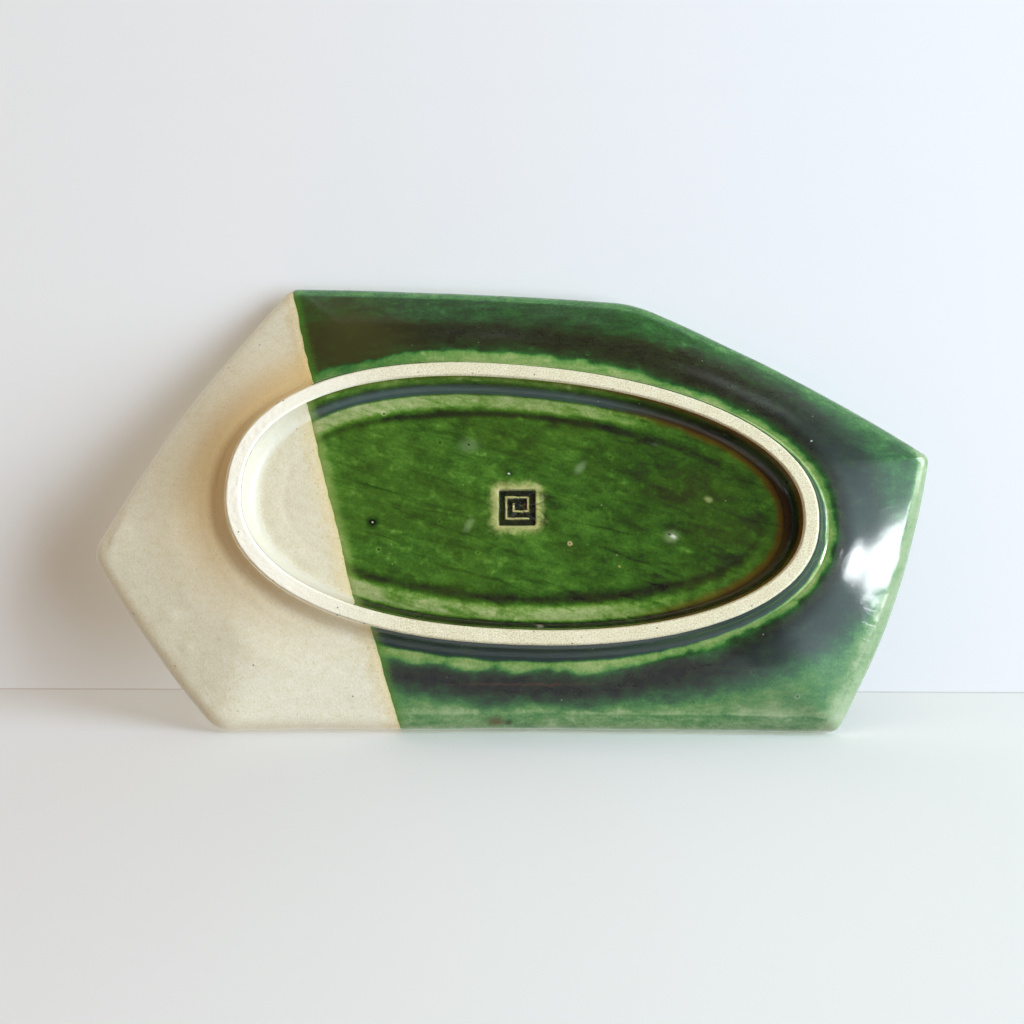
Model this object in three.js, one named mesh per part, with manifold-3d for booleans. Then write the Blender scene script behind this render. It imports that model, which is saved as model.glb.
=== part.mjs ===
// Six-sided stoneware plate: a pressed clay slab on a luted oval foot, dipped in two glazes.
// Millimetres, +Z up, standing on its foot. The origin lies under the middle of the rim's box,
// on the plane of the foot. The long straight edge runs along -Y.
import * as THREE from "three";
import { mergeVertices } from "three/addons/utils/BufferGeometryUtils.js";
import Module from "manifold-3d";

// Rim seen from above, counter-clockwise. round is how far a corner's curve starts from its
// point, and bow is how far the edge that follows swells outwards at its middle.
const RIM_CORNERS = [
  { x: 126, y: -17.4, round: 4.5, bow: 3.1 },
  { x: 71.6, y: 68.6, round: 2.5, bow: 1 },
  { x: -36.5, y: 63.4, round: 7, bow: 2.2 },
  { x: -124.6, y: 12.8, round: 1.6, bow: 3.7 },
  { x: -90.6, y: -68.7, round: 2, bow: 0 },
  { x: 85.8, y: -68.1, round: 4, bow: 1.3 },
];

// Heights and walls
const PLATE_HEIGHT = 20;
const SLAB_THICKNESS = 5;
const EDGE_HEIGHT = 4.6; // the slab's cut edge, measured upright
const EDGE_SLANT = 2.6; // how far that cut edge leans in at its underside
const EDGE_ROUNDING = 0.5;
const WALL_RUN = 40; // width of the sloping wall, seen from above, where the foot leaves room for it
const WALL_SWEEP = 0.4; // share of the wall that curves before it runs straight
const CREASE_SOFTNESS = 2.5; // how broadly two walls blend where they meet

// Foot: an egg-shaped oval, measured along the middle of its bare rim
const FOOT_CENTRE = new THREE.Vector2(-0.9, -5.6);
const FOOT_HALF_LENGTH = 82.2;
const FOOT_HALF_WIDTH = 39.1;
const FOOT_TURN = THREE.MathUtils.degToRad(4);
const FOOT_EGG = 0.06; // how much fuller the +X end is
const FOOT_SQUARENESS = 2.23; // 2 is a plain ellipse
const FOOT_HEIGHT = 6.2;
const FOOT_RIM_WIDTH = 4;
const FOOT_FLARE_ENDS = 4.4; // how far a foot wall spreads from the bare rim to the slab
const FOOT_FLARE_SIDES = 2.7;
const FOOT_BEND_HEIGHT = 3.7; // above which a foot wall spreads faster
const FOOT_BEND_FLARE = 0.35; // share of the spread reached there
const BARE_EDGE_FLARE = 0.1; // share of it reached where the bare clay ends

// Turned marks on the slab inside the foot: a low ridge, then a groove round the field
const RIDGE_INSET = 3.6;
const RIDGE_HEIGHT = 0.5;
const GROOVE_INSET = 7.4;
const GROOVE_DEPTH = 0.4;
const FIELD_INSET = 9.6;

// Glaze
const GLAZE_THICKNESS = 0.5;
const BARE_FOOT_HEIGHT = 0.8; // height of clay left bare above the surface it stands on
const DIP_X = 52.3; // where the edge between the two dips crosses the X axis
const DIP_LEAN = 0.275; // how far that edge moves along X for each unit of Y
const DIP_STEP_IN_FOOT = 3.2; // the dip reached less far inside the foot

// Seal: a square stamp with a fret raised in it
const SEAL_CENTRE = new THREE.Vector2(0.3, -6.2);
const SEAL_SIDE = 10.4;
const SEAL_DEPTH = 1.1;
const SEAL_GLAZE = 0.4;
const FRET_STROKE = 0.9;
const FRET_PITCH = 2.1;
const FRET_HEIGHT = 0.8;
const FRET_TURNS = [
  [-1.5, -1.5],
  [1.5, -1.5],
  [1.5, 1.5],
  [-1.5, 1.5],
  [-1.5, -0.5],
  [0.5, -0.5],
  [0.5, 0.5],
]; // in steps of FRET_PITCH from the middle of the seal

// Fineness
const EDGE_STEP = 11; // spacing of the spokes along the rim
const CORNER_STEPS = 3;
const EVENING_PASSES = 12;
const WALL_STEPS = 6;
const INNER_RING_INSET = 20; // of the ring nearest to the middle of the foot
const SWELL_STEPS = 8; // points tried on each edge for the rim's box

const wasm = await Module();
wasm.setup();

// Rim outline
function cornerPosition(index) {
  const corner = RIM_CORNERS[index % RIM_CORNERS.length];
  return new THREE.Vector2(corner.x, corner.y);
}

function edgeLength(index) {
  return cornerPosition(index).distanceTo(cornerPosition(index + 1));
}

function edgeNormal(index) {
  const along = cornerPosition(index + 1).sub(cornerPosition(index)).normalize();
  return new THREE.Vector2(along.y, -along.x);
}

function edgeSwell(index, share) {
  return 4 * RIM_CORNERS[index].bow * share * (1 - share);
}

function edgePoint(index, share) {
  const swell = edgeNormal(index).multiplyScalar(edgeSwell(index, share));
  return cornerPosition(index).lerp(cornerPosition(index + 1), share).add(swell);
}

function edgeTangent(index, share) {
  const nudge = 0.001;
  return edgePoint(index, share + nudge).sub(edgePoint(index, share - nudge)).normalize();
}

function edgeShares(index) {
  const next = (index + 1) % RIM_CORNERS.length;
  const length = edgeLength(index);
  return [RIM_CORNERS[index].round / length, 1 - RIM_CORNERS[next].round / length];
}

// A corner is a curve that leaves one edge and joins the next along their tangents.
function cornerCurve(index) {
  const before = (index + RIM_CORNERS.length - 1) % RIM_CORNERS.length;
  const leave = edgeShares(before)[1];
  const join = edgeShares(index)[0];
  const from = edgePoint(before, leave);
  const to = edgePoint(index, join);
  const out = edgeTangent(before, leave);
  const back = edgeTangent(index, join);
  const reach = to.clone().sub(from).cross(back) / out.cross(back);
  return new THREE.QuadraticBezierCurve(from, from.clone().addScaledVector(out, reach), to);
}

function middleOfRim() {
  const box = new THREE.Box2();
  RIM_CORNERS.forEach((_, index) => {
    cornerCurve(index).getPoints(CORNER_STEPS).forEach((point) => box.expandByPoint(point));
    const [start, end] = edgeShares(index);
    for (let step = 1; step < SWELL_STEPS; step += 1) {
      box.expandByPoint(edgePoint(index, THREE.MathUtils.lerp(start, end, step / SWELL_STEPS)));
    }
  });
  return box.getCenter(new THREE.Vector2());
}

// Foot oval, as a distance from its centre in a given direction
function ovalReach(direction, halfLength, halfWidth) {
  const turned = direction.clone().rotateAround(new THREE.Vector2(), -FOOT_TURN);
  let inside = 0;
  let outside = 2 * halfLength;
  while (outside - inside > Number.EPSILON * outside) {
    const middle = (inside + outside) / 2;
    const along = (turned.x * middle) / halfLength;
    const across = (turned.y * middle) / (halfWidth * (1 + FOOT_EGG * along));
    const sum = Math.abs(along) ** FOOT_SQUARENESS + Math.abs(across) ** FOOT_SQUARENESS;
    if (sum < 1) {
      inside = middle;
    } else {
      outside = middle;
    }
  }
  return inside;
}

// Spokes join the foot to the rim. They start from a point of the rim and how squarely they
// meet it there, which turns a distance from the rim into one along the spoke.
function cornerStarts(index) {
  const before = (index + RIM_CORNERS.length - 1) % RIM_CORNERS.length;
  return cornerCurve(index).getPoints(CORNER_STEPS).map((point, step) => (
    { point, before, after: index, share: step / CORNER_STEPS }
  ));
}

function edgeStarts(index) {
  const [low, high] = edgeShares(index);
  const count = Math.max(2, Math.round((edgeLength(index) * (high - low)) / EDGE_STEP));
  return Array.from({ length: count - 1 }, (_, step) => {
    const point = edgePoint(index, THREE.MathUtils.lerp(low, high, (step + 1) / count));
    return { point, before: index, after: index, share: 0 };
  });
}

// The spokes crowd at the corners, so their directions are evened out round the foot.
function footDirections(starts) {
  let turns = starts.map(({ point }) => point.clone().sub(FOOT_CENTRE).angle());
  const full = 2 * Math.PI;
  turns = turns.map((turn) => (turn < turns[0] ? turn + full : turn));
  for (let pass = 0; pass < EVENING_PASSES; pass += 1) {
    turns = turns.map((turn, spoke) => {
      const before = spoke > 0 ? turns[spoke - 1] : turns.at(-1) - full;
      const after = spoke < turns.length - 1 ? turns[spoke + 1] : turns[0] + full;
      return (before + 2 * turn + after) / 4;
    });
  }
  return turns.map((turn) => new THREE.Vector2(Math.cos(turn), Math.sin(turn)));
}

function makeSpokes() {
  const starts = RIM_CORNERS.flatMap((_, index) => [...cornerStarts(index), ...edgeStarts(index)]);
  const directions = footDirections(starts);
  return starts.map(({ point, before, after, share }, spoke) => {
    const direction = directions[spoke];
    const base = FOOT_CENTRE.clone().addScaledVector(direction, outerBaseReach({ direction }));
    const outwards = point.clone().sub(base).normalize();
    const squareness = THREE.MathUtils.lerp(
      outwards.dot(edgeNormal(before)),
      outwards.dot(edgeNormal(after)),
      share,
    );
    return { direction, base, rim: point, outwards, squareness };
  });
}

// Plan points on a spoke
function footPoint(spoke, inset, flare) {
  return FOOT_CENTRE.clone().addScaledVector(spoke.direction, footReach(spoke, inset, flare));
}

function footReach({ direction }, inset, flare) {
  const length = FOOT_HALF_LENGTH - inset + flare * FOOT_FLARE_ENDS;
  const width = FOOT_HALF_WIDTH - inset + flare * FOOT_FLARE_SIDES;
  return ovalReach(direction, length, width);
}

// A flare of 1 is the outer foot wall where it meets the slab, and -1 the inner one.
function outerBaseReach(spoke) {
  return footReach(spoke, -FOOT_RIM_WIDTH / 2, 1);
}

function pointInFromRim(spoke, distance) {
  return spoke.rim.clone().addScaledVector(spoke.outwards, -distance / spoke.squareness);
}

const SPOKES = makeSpokes();
const MIDDLE = middleOfRim();

// A ring is one point on every spoke, with its height.
function ring(pointOf, heightOf) {
  return SPOKES.map((spoke) => {
    const point = pointOf(spoke);
    return new THREE.Vector3(point.x - MIDDLE.x, point.y - MIDDLE.y, heightOf(spoke, point));
  });
}

function ovalRing(inset, flare, height) {
  return ring((spoke) => footPoint(spoke, inset, flare), () => height);
}

function distanceToEdge(point, index) {
  const fromCorner = point.clone().sub(cornerPosition(index));
  const along = cornerPosition(index + 1).sub(cornerPosition(index)).normalize();
  const share = THREE.MathUtils.clamp(fromCorner.dot(along) / edgeLength(index), 0, 1);
  return edgeSwell(index, share) - fromCorner.dot(edgeNormal(index));
}

// Distance to the nearest edges, blended so that the walls meet in soft creases
function rimDistance(point) {
  const distances = RIM_CORNERS.map((_, index) => distanceToEdge(point, index));
  const weights = distances.map((distance) => Math.exp(-distance / CREASE_SOFTNESS));
  return -CREASE_SOFTNESS * Math.log(weights.reduce((sum, weight) => sum + weight));
}

// The wall rises along a curve that runs straight towards the rim.
function wallRise(share) {
  const along = THREE.MathUtils.clamp(share, 0, 1);
  const risen = along < WALL_SWEEP ? along ** 2 / (2 * WALL_SWEEP) : along - WALL_SWEEP / 2;
  return risen / (1 - WALL_SWEEP / 2);
}

function wallHeight(spoke, point, low, high, edgeInset) {
  const top = rimDistance(pointInFromRim(spoke, edgeInset));
  const bottom = Math.min(WALL_RUN, rimDistance(spoke.base));
  return low + (high - low) * wallRise((bottom - rimDistance(point)) / (bottom - top));
}

const CREST_HEIGHT = PLATE_HEIGHT - GLAZE_THICKNESS;
const EDGE_FOOT_HEIGHT = CREST_HEIGHT - EDGE_HEIGHT;
const FACE_FLOOR_HEIGHT = FOOT_HEIGHT + SLAB_THICKNESS;

function underWallRing(share) {
  return ring(
    (spoke) => spoke.base.clone().lerp(pointInFromRim(spoke, EDGE_SLANT), share),
    (spoke, point) => wallHeight(spoke, point, FOOT_HEIGHT, EDGE_FOOT_HEIGHT, EDGE_SLANT),
  );
}

function edgeRing(distance, height) {
  return ring((spoke) => pointInFromRim(spoke, distance), () => height);
}

function faceWallRing(share) {
  return ring(
    (spoke) => pointInFromRim(spoke, EDGE_ROUNDING).lerp(spoke.base, share),
    (spoke, point) => wallHeight(spoke, point, FACE_FLOOR_HEIGHT, CREST_HEIGHT, EDGE_ROUNDING),
  );
}

// Rings of each clay surface, from the middle of the foot outwards and over to the face
function recessFloorRings() {
  const inner = FOOT_RIM_WIDTH / 2;
  return [
    ovalRing(inner + INNER_RING_INSET, -1, FOOT_HEIGHT),
    ovalRing(inner + FIELD_INSET, -1, FOOT_HEIGHT),
    ovalRing(inner + GROOVE_INSET, -1, FOOT_HEIGHT + GROOVE_DEPTH),
    ovalRing(inner + RIDGE_INSET, -1, FOOT_HEIGHT - RIDGE_HEIGHT),
    ovalRing(inner, -1, FOOT_HEIGHT),
  ];
}

function footWallRings(side) {
  const inset = (-side * FOOT_RIM_WIDTH) / 2;
  return [
    ovalRing(inset, side * BARE_EDGE_FLARE, BARE_FOOT_HEIGHT),
    ovalRing(inset, side * FOOT_BEND_FLARE, FOOT_BEND_HEIGHT),
    ovalRing(inset, side, FOOT_HEIGHT),
  ];
}

function underWallRings() {
  return Array.from({ length: WALL_STEPS }, (_, step) => underWallRing((step + 1) / WALL_STEPS));
}

function cutEdgeRings() {
  return [
    edgeRing(EDGE_ROUNDING / 2, CREST_HEIGHT - 2 * EDGE_ROUNDING),
    edgeRing(0, CREST_HEIGHT - EDGE_ROUNDING),
    edgeRing(EDGE_ROUNDING, CREST_HEIGHT),
  ];
}

function faceRings() {
  return Array.from({ length: WALL_STEPS }, (_, step) => faceWallRing((step + 1) / WALL_STEPS));
}

// Meshes from rings
function loft(rings, { closed = false, startCap = null, endCap = null }) {
  const points = rings.flat();
  const faces = [];
  const count = SPOKES.length;
  const spans = closed ? rings.length : rings.length - 1;
  for (let span = 0; span < spans; span += 1) {
    const here = span * count;
    const there = ((span + 1) % rings.length) * count;
    for (let spoke = 0; spoke < count; spoke += 1) {
      const next = (spoke + 1) % count;
      faces.push(here + spoke, here + next, there + next);
      faces.push(here + spoke, there + next, there + spoke);
    }
  }
  const fan = (centre, start, forwards) => {
    const hub = points.push(centre) - 1;
    for (let spoke = 0; spoke < count; spoke += 1) {
      const next = (spoke + 1) % count;
      faces.push(hub, start + (forwards ? next : spoke), start + (forwards ? spoke : next));
    }
  };
  if (startCap) {
    fan(startCap, 0, true);
  }
  if (endCap) {
    fan(endCap, (rings.length - 1) * count, false);
  }
  return { points, faces };
}

function toGeometry({ points, faces }) {
  const geometry = new THREE.BufferGeometry().setFromPoints(points);
  geometry.setIndex(faces);
  return geometry;
}

function middlePoint(height) {
  const flat = FOOT_CENTRE.clone().sub(MIDDLE);
  return new THREE.Vector3(flat.x, flat.y, height);
}

// A coat starts from the clay's own points and moves a second skin out along their normals.
function coat(rings, caps) {
  const { points, faces } = loft(rings, caps);
  const geometry = toGeometry({ points, faces });
  geometry.computeVertexNormals();
  const normals = geometry.getAttribute("normal");
  const outer = points.map((point, index) => {
    const normal = new THREE.Vector3().fromBufferAttribute(normals, index);
    return point.clone().addScaledVector(normal, GLAZE_THICKNESS);
  });
  const shift = points.length;
  const all = faces.map((index) => index + shift);
  for (let face = 0; face < faces.length; face += 3) {
    all.push(faces[face], faces[face + 2], faces[face + 1]);
  }
  const count = SPOKES.length;
  const openRing = caps.startCap ? (rings.length - 1) * count : 0;
  for (let spoke = 0; spoke < count; spoke += 1) {
    const here = openRing + spoke;
    const next = openRing + ((spoke + 1) % count);
    const [first, second] = caps.startCap ? [here, next] : [next, here];
    all.push(first + shift, second + shift, second);
    all.push(first + shift, second, first);
  }
  return toGeometry({ points: [...points, ...outer], faces: all });
}

// Solids for joining and cutting
function toSolid(geometry) {
  const bare = geometry.clone();
  bare.deleteAttribute("normal");
  bare.deleteAttribute("uv");
  const merged = mergeVertices(bare, 1e-5);
  return new wasm.Manifold(new wasm.Mesh({
    numProp: 3,
    vertProperties: new Float32Array(merged.getAttribute("position").array),
    triVerts: new Uint32Array(merged.index.array),
  }));
}

function fromSolid(solid) {
  const mesh = solid.getMesh();
  const geometry = new THREE.BufferGeometry();
  geometry.setAttribute("position", new THREE.BufferAttribute(mesh.vertProperties, 3));
  geometry.setIndex(new THREE.BufferAttribute(mesh.triVerts, 1));
  return geometry;
}

function box(x, y, low, high, width, depth) {
  const geometry = new THREE.BoxGeometry(width, depth, high - low);
  geometry.translate(x, y, (low + high) / 2);
  return toSolid(geometry);
}

// Seal, pressed up into the slab from below
function sealBox(side, low, high) {
  const centre = SEAL_CENTRE.clone().sub(MIDDLE);
  return box(centre.x, centre.y, low, high, side, side);
}

function fretStrokes() {
  const centre = SEAL_CENTRE.clone().sub(MIDDLE);
  const low = FOOT_HEIGHT + SEAL_DEPTH - FRET_HEIGHT;
  const high = FOOT_HEIGHT + SEAL_DEPTH + FRET_HEIGHT;
  const strokes = FRET_TURNS.slice(1).map((end, index) => {
    const start = FRET_TURNS[index];
    const x = centre.x + ((start[0] + end[0]) / 2) * FRET_PITCH;
    const y = centre.y + ((start[1] + end[1]) / 2) * FRET_PITCH;
    const width = Math.abs(end[0] - start[0]) * FRET_PITCH + FRET_STROKE;
    const depth = Math.abs(end[1] - start[1]) * FRET_PITCH + FRET_STROKE;
    return box(x, y, low, high, width, depth);
  });
  return strokes.reduce((joined, stroke) => joined.add(stroke));
}

function stampSeal(slab) {
  const hollow = sealBox(SEAL_SIDE, FOOT_HEIGHT - GLAZE_THICKNESS, FOOT_HEIGHT + SEAL_DEPTH);
  return slab.subtract(hollow.subtract(fretStrokes()));
}

function lineSeal(glaze) {
  const top = FOOT_HEIGHT + SEAL_DEPTH;
  const lining = sealBox(SEAL_SIDE, FOOT_HEIGHT - GLAZE_THICKNESS / 2, top);
  const free = sealBox(SEAL_SIDE - 2 * SEAL_GLAZE, 0, top - SEAL_GLAZE);
  return glaze.add(lining).subtract(free).subtract(fretStrokes());
}

// The two dips share one upright plane, so each coat is halved by a large box.
function dipSide(step) {
  const size = 1000;
  const geometry = new THREE.BoxGeometry(size, size, size);
  geometry.translate(size / 2, 0, 0);
  geometry.rotateZ(-Math.atan(DIP_LEAN));
  geometry.translate(DIP_X + step - MIDDLE.x - DIP_LEAN * MIDDLE.y, 0, 0);
  return toSolid(geometry);
}

// Sub-parts
function plateBody() {
  const rings = [
    ...recessFloorRings(),
    ...underFootRings(),
    ...underWallRings(),
    ...cutEdgeRings(),
    ...faceRings(),
  ];
  const caps = { startCap: middlePoint(FOOT_HEIGHT), endCap: middlePoint(FACE_FLOOR_HEIGHT) };
  return fromSolid(stampSeal(toSolid(toGeometry(loft(rings, caps)))));
}

function underFootRings() {
  return [ovalRing(-FOOT_RIM_WIDTH / 2, 1, FOOT_HEIGHT)];
}

function footRing() {
  const bareRim = [ovalRing(FOOT_RIM_WIDTH / 2, 0, 0), ovalRing(-FOOT_RIM_WIDTH / 2, 0, 0)];
  const rings = [...footWallRings(-1).reverse(), ...bareRim, ...footWallRings(1)];
  return toGeometry(loft(rings, { closed: true }));
}

function outerCoat() {
  const rings = [...footWallRings(1), ...underWallRings(), ...cutEdgeRings(), ...faceRings()];
  return toSolid(coat(rings, { endCap: middlePoint(FACE_FLOOR_HEIGHT) }));
}

function footCoat() {
  const floor = recessFloorRings().slice(0, -1);
  const rings = [...floor, ...footWallRings(-1).reverse()];
  return lineSeal(toSolid(coat(rings, { startCap: middlePoint(FOOT_HEIGHT) })));
}

// Finishes
const bareClay = new THREE.MeshStandardMaterial({ color: 0xdccfa9, roughness: 0.9, metalness: 0 });
const clearGlaze = new THREE.MeshStandardMaterial({ color: 0xd8ccab, roughness: 0.45, metalness: 0 });
const greenGlaze = new THREE.MeshStandardMaterial({ color: 0x3f6e2c, roughness: 0.15, metalness: 0 });

function addPiece(group, name, geometry, material) {
  const mesh = new THREE.Mesh(geometry, material);
  mesh.name = name;
  group.add(mesh);
}

function buildPlate() {
  const plate = new THREE.Group();
  const outer = outerCoat();
  const inFoot = footCoat();
  const clearSide = dipSide(0);
  const clearSideInFoot = dipSide(DIP_STEP_IN_FOOT);
  addPiece(plate, "plate_body", plateBody(), bareClay);
  addPiece(plate, "foot_ring", footRing(), bareClay);
  addPiece(plate, "clear_glaze_outer", fromSolid(outer.intersect(clearSide)), clearGlaze);
  addPiece(plate, "green_glaze_outer", fromSolid(outer.subtract(clearSide)), greenGlaze);
  addPiece(plate, "clear_glaze_in_foot", fromSolid(inFoot.intersect(clearSideInFoot)), clearGlaze);
  addPiece(plate, "green_glaze_in_foot", fromSolid(inFoot.subtract(clearSideInFoot)), greenGlaze);
  return plate;
}

export default buildPlate();
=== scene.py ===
"""Six-sided stoneware plate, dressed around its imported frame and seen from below, as it leans on a wall."""

import math

import bpy
import numpy as np
from mathutils import Matrix, Vector


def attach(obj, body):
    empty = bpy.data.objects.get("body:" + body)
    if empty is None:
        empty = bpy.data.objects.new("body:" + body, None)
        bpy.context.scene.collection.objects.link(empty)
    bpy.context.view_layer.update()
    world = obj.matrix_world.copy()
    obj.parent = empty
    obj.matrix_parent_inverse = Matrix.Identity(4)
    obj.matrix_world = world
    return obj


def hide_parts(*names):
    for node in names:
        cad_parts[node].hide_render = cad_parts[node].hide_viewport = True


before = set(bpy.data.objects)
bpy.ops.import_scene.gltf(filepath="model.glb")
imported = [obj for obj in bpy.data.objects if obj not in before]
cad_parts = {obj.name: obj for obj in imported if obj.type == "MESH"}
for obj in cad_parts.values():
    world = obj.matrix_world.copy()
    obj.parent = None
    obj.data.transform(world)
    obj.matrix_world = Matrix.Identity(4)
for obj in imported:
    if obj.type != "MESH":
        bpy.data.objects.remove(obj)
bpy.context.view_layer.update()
MM = 0.001

# Driving sizes of the part, in mm, as in its source
RIM_CORNERS = np.array([
    # x, y, start of the corner's curve, swell of the edge that follows
    (126, -17.4, 4.5, 3.1),
    (71.6, 68.6, 2.5, 1),
    (-36.5, 63.4, 7, 2.2),
    (-124.6, 12.8, 1.6, 3.7),
    (-90.6, -68.7, 2, 0),
    (85.8, -68.1, 4, 1.3),
])
PLATE_HEIGHT = 20
SLAB_THICKNESS = 5
EDGE_HEIGHT = 4.6
EDGE_SLANT = 2.6
EDGE_ROUNDING = 0.5
WALL_RUN = 40
WALL_SWEEP = 0.4
CREASE_SOFTNESS = 2.5
FOOT_CENTRE = np.array((-0.9, -5.6))
FOOT_HALF_LENGTH = 82.2
FOOT_HALF_WIDTH = 39.1
FOOT_TURN = math.radians(4)
FOOT_EGG = 0.06
FOOT_SQUARENESS = 2.23
FOOT_HEIGHT = 6.2
FOOT_RIM_WIDTH = 4
FOOT_FLARE = (4.4, 2.7)
BARE_FOOT_HEIGHT = 0.8
GLAZE_THICKNESS = 0.5
DIP_X = 52.3
DIP_LEAN = 0.275
DIP_STEP_IN_FOOT = 3.2
SEAL_CENTRE = np.array((0.3, -6.2))
SEAL_SIDE = 10.4
FRET_STROKE = 0.9
FRET_PITCH = 2.1
FRET_TURNS = np.array([
    (-1.5, -1.5), (1.5, -1.5), (1.5, 1.5), (-1.5, 1.5), (-1.5, -0.5), (0.5, -0.5), (0.5, 0.5),
])

CREST = PLATE_HEIGHT - GLAZE_THICKNESS
EDGE_FOOT = CREST - EDGE_HEIGHT
FACE_FLOOR = FOOT_HEIGHT + SLAB_THICKNESS

# Softer forms of the dressed part, in mm
EDGE_ROLL = 4.0  # inset at which the underside starts to roll over into the cut edge
ROLL_INSETS = (EDGE_ROLL, 2.1, 0.3, 0.05)
ROLL_HEIGHTS = (16.3, 18.6)  # of the last two points of that roll
FOOT_WALL_START = 0.06  # share of the flare where a foot wall begins
FOOT_WALL = [(0.2, 3.0), (0.34, 5.3), (1.0, FOOT_HEIGHT)]  # the share and height of the points that follow
FOOT_ROUNDING = 0.55
GLAZE_START = 0.5  # height of the thin edge that creeps below the bare height
CLEAR_COAT_SHARE = 0.86  # of the green coat's thickness
SEAL_DEPTH = 1.05
STROKE_RISE = 0.6

# Fineness
OUTER_SPOKES = 520
SPOKE_EVENING = 22 / 640  # share of the turn over which the spokes are evened out
PATCH_STEPS = 120  # cells along each side of the square patch round the seal
PATCH_HALF = 12.0
FLOOR_BAND = 13.0  # width of the fine rings inside the foot
FOOT_SPOKES = 720
SLAB_STEPS = 60
NUDGE = 0.2


def smooth(low, high, value):
    share = np.clip((value - low) / (high - low), 0, 1)
    return share * share * (3 - 2 * share)


def bell(value, middle, width):
    return np.exp(-(((value - middle) / width) ** 2))


def unit(vectors):
    return vectors / np.linalg.norm(vectors, axis=-1, keepdims=True)


def field(points, cell, seed):
    """A smooth random field between -1 and 1, with features about as large as cell."""
    side = 48
    table = np.random.default_rng(seed).uniform(-1, 1, (side, side, side))
    place = np.asarray(points) / cell
    base = np.floor(place).astype(int)
    share = place - base
    share = share * share * (3 - 2 * share)
    total = 0.0
    for corner in np.ndindex(2, 2, 2):
        weight = np.ones(share.shape[:-1])
        for axis in range(3):
            weight = weight * (share[..., axis] if corner[axis] else 1 - share[..., axis])
        spot = (base + np.array(corner)) % side
        total = total + weight * table[spot[..., 0], spot[..., 1], spot[..., 2]]
    return total


def bezier_weights(share):
    return (1 - share) ** 3, 3 * share * (1 - share) ** 2, 3 * share ** 2 * (1 - share), share ** 3


def bezier(points, count):
    weights = bezier_weights(np.linspace(0, 1, count)[:, None])
    return sum(weight * point for weight, point in zip(weights, np.array(points, float)))


# Rim outline and its distance field
def edge_line(index):
    start = RIM_CORNERS[index % 6, :2]
    end = RIM_CORNERS[(index + 1) % 6, :2]
    length = np.linalg.norm(end - start)
    along = (end - start) / length
    return start, along, length, np.array((along[1], -along[0]))


def edge_point(index, share):
    start, along, length, outwards = edge_line(index)
    share = np.atleast_1d(share)[:, None]
    return start + along * length * share + outwards * 4 * RIM_CORNERS[index % 6, 3] * share * (1 - share)


def edge_ends(index):
    length = edge_line(index)[2]
    return RIM_CORNERS[index % 6, 2] / length, 1 - RIM_CORNERS[(index + 1) % 6, 2] / length


def tangent(index, share):
    return unit(edge_point(index, share + 0.001) - edge_point(index, share - 0.001))[0]


def corner_curve(index, steps):
    before = (index - 1) % 6
    leave, join = edge_ends(before)[1], edge_ends(index)[0]
    start, end = edge_point(before, leave)[0], edge_point(index, join)[0]
    out, back = tangent(before, leave), tangent(index, join)
    gap = end - start
    reach = (gap[0] * back[1] - gap[1] * back[0]) / (out[0] * back[1] - out[1] * back[0])
    middle = start + out * reach
    share = np.linspace(0, 1, steps)[:, None]
    return (1 - share) ** 2 * start + 2 * share * (1 - share) * middle + share ** 2 * end


def rim_path(count):
    """Points round the rim with their blended outward normals; corners get closer steps."""
    corner_steps, edge_steps, corner_weight = 24, 240, 2.5
    points, normals, weights = [], [], []
    for index in range(6):
        before, after = edge_line(index - 1)[3], edge_line(index)[3]
        share = np.linspace(0, 1, corner_steps + 1)[:-1, None]
        points.append(corner_curve(index, corner_steps + 1)[:-1])
        normals.append(before * (1 - share) + after * share)
        weights.append(np.full(corner_steps, corner_weight))
        low, high = edge_ends(index)
        points.append(edge_point(index, np.linspace(low, high, edge_steps + 1)[:-1]))
        normals.append(np.repeat(after[None], edge_steps, 0))
        weights.append(np.ones(edge_steps))
    points, normals, weights = np.concatenate(points), np.concatenate(normals), np.concatenate(weights)
    steps = np.linalg.norm(np.roll(points, -1, 0) - points, axis=1) * weights
    travelled = np.concatenate(([0], np.cumsum(steps)))
    targets = np.arange(count) / count * travelled[-1]

    def spread(values):
        closed = np.concatenate((values, values[:1]))
        return np.stack([np.interp(targets, travelled, closed[:, axis]) for axis in (0, 1)], 1)

    return spread(points), spread(normals)


def edge_distance(points, index):
    start, along, length, outwards = edge_line(index)
    share = np.clip((points - start) @ along / length, 0, 1)
    return 4 * RIM_CORNERS[index, 3] * share * (1 - share) - (points - start) @ outwards


def rim_distance(points):
    weights = sum(np.exp(-edge_distance(points, index) / CREASE_SOFTNESS) for index in range(6))
    return -CREASE_SOFTNESS * np.log(weights)


RIM = rim_path(OUTER_SPOKES)[0]
MIDDLE = (RIM.min(0) + RIM.max(0)) / 2


# Foot oval
def oval_reach(directions, half_length, half_width):
    """How far the oval lies from its centre in those directions, found by halving."""
    cosine, sine = math.cos(FOOT_TURN), math.sin(FOOT_TURN)
    along = directions[..., 0] * cosine + directions[..., 1] * sine
    across = directions[..., 1] * cosine - directions[..., 0] * sine
    low, high = np.zeros_like(along), np.full_like(along, 2.0 * FOOT_HALF_LENGTH)
    for _ in range(44):
        middle = (low + high) / 2
        first = along * middle / half_length
        second = across * middle / (half_width * (1 + FOOT_EGG * first))
        inside = np.abs(first) ** FOOT_SQUARENESS + np.abs(second) ** FOOT_SQUARENESS < 1
        low, high = np.where(inside, middle, low), np.where(inside, high, middle)
    return low


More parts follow.
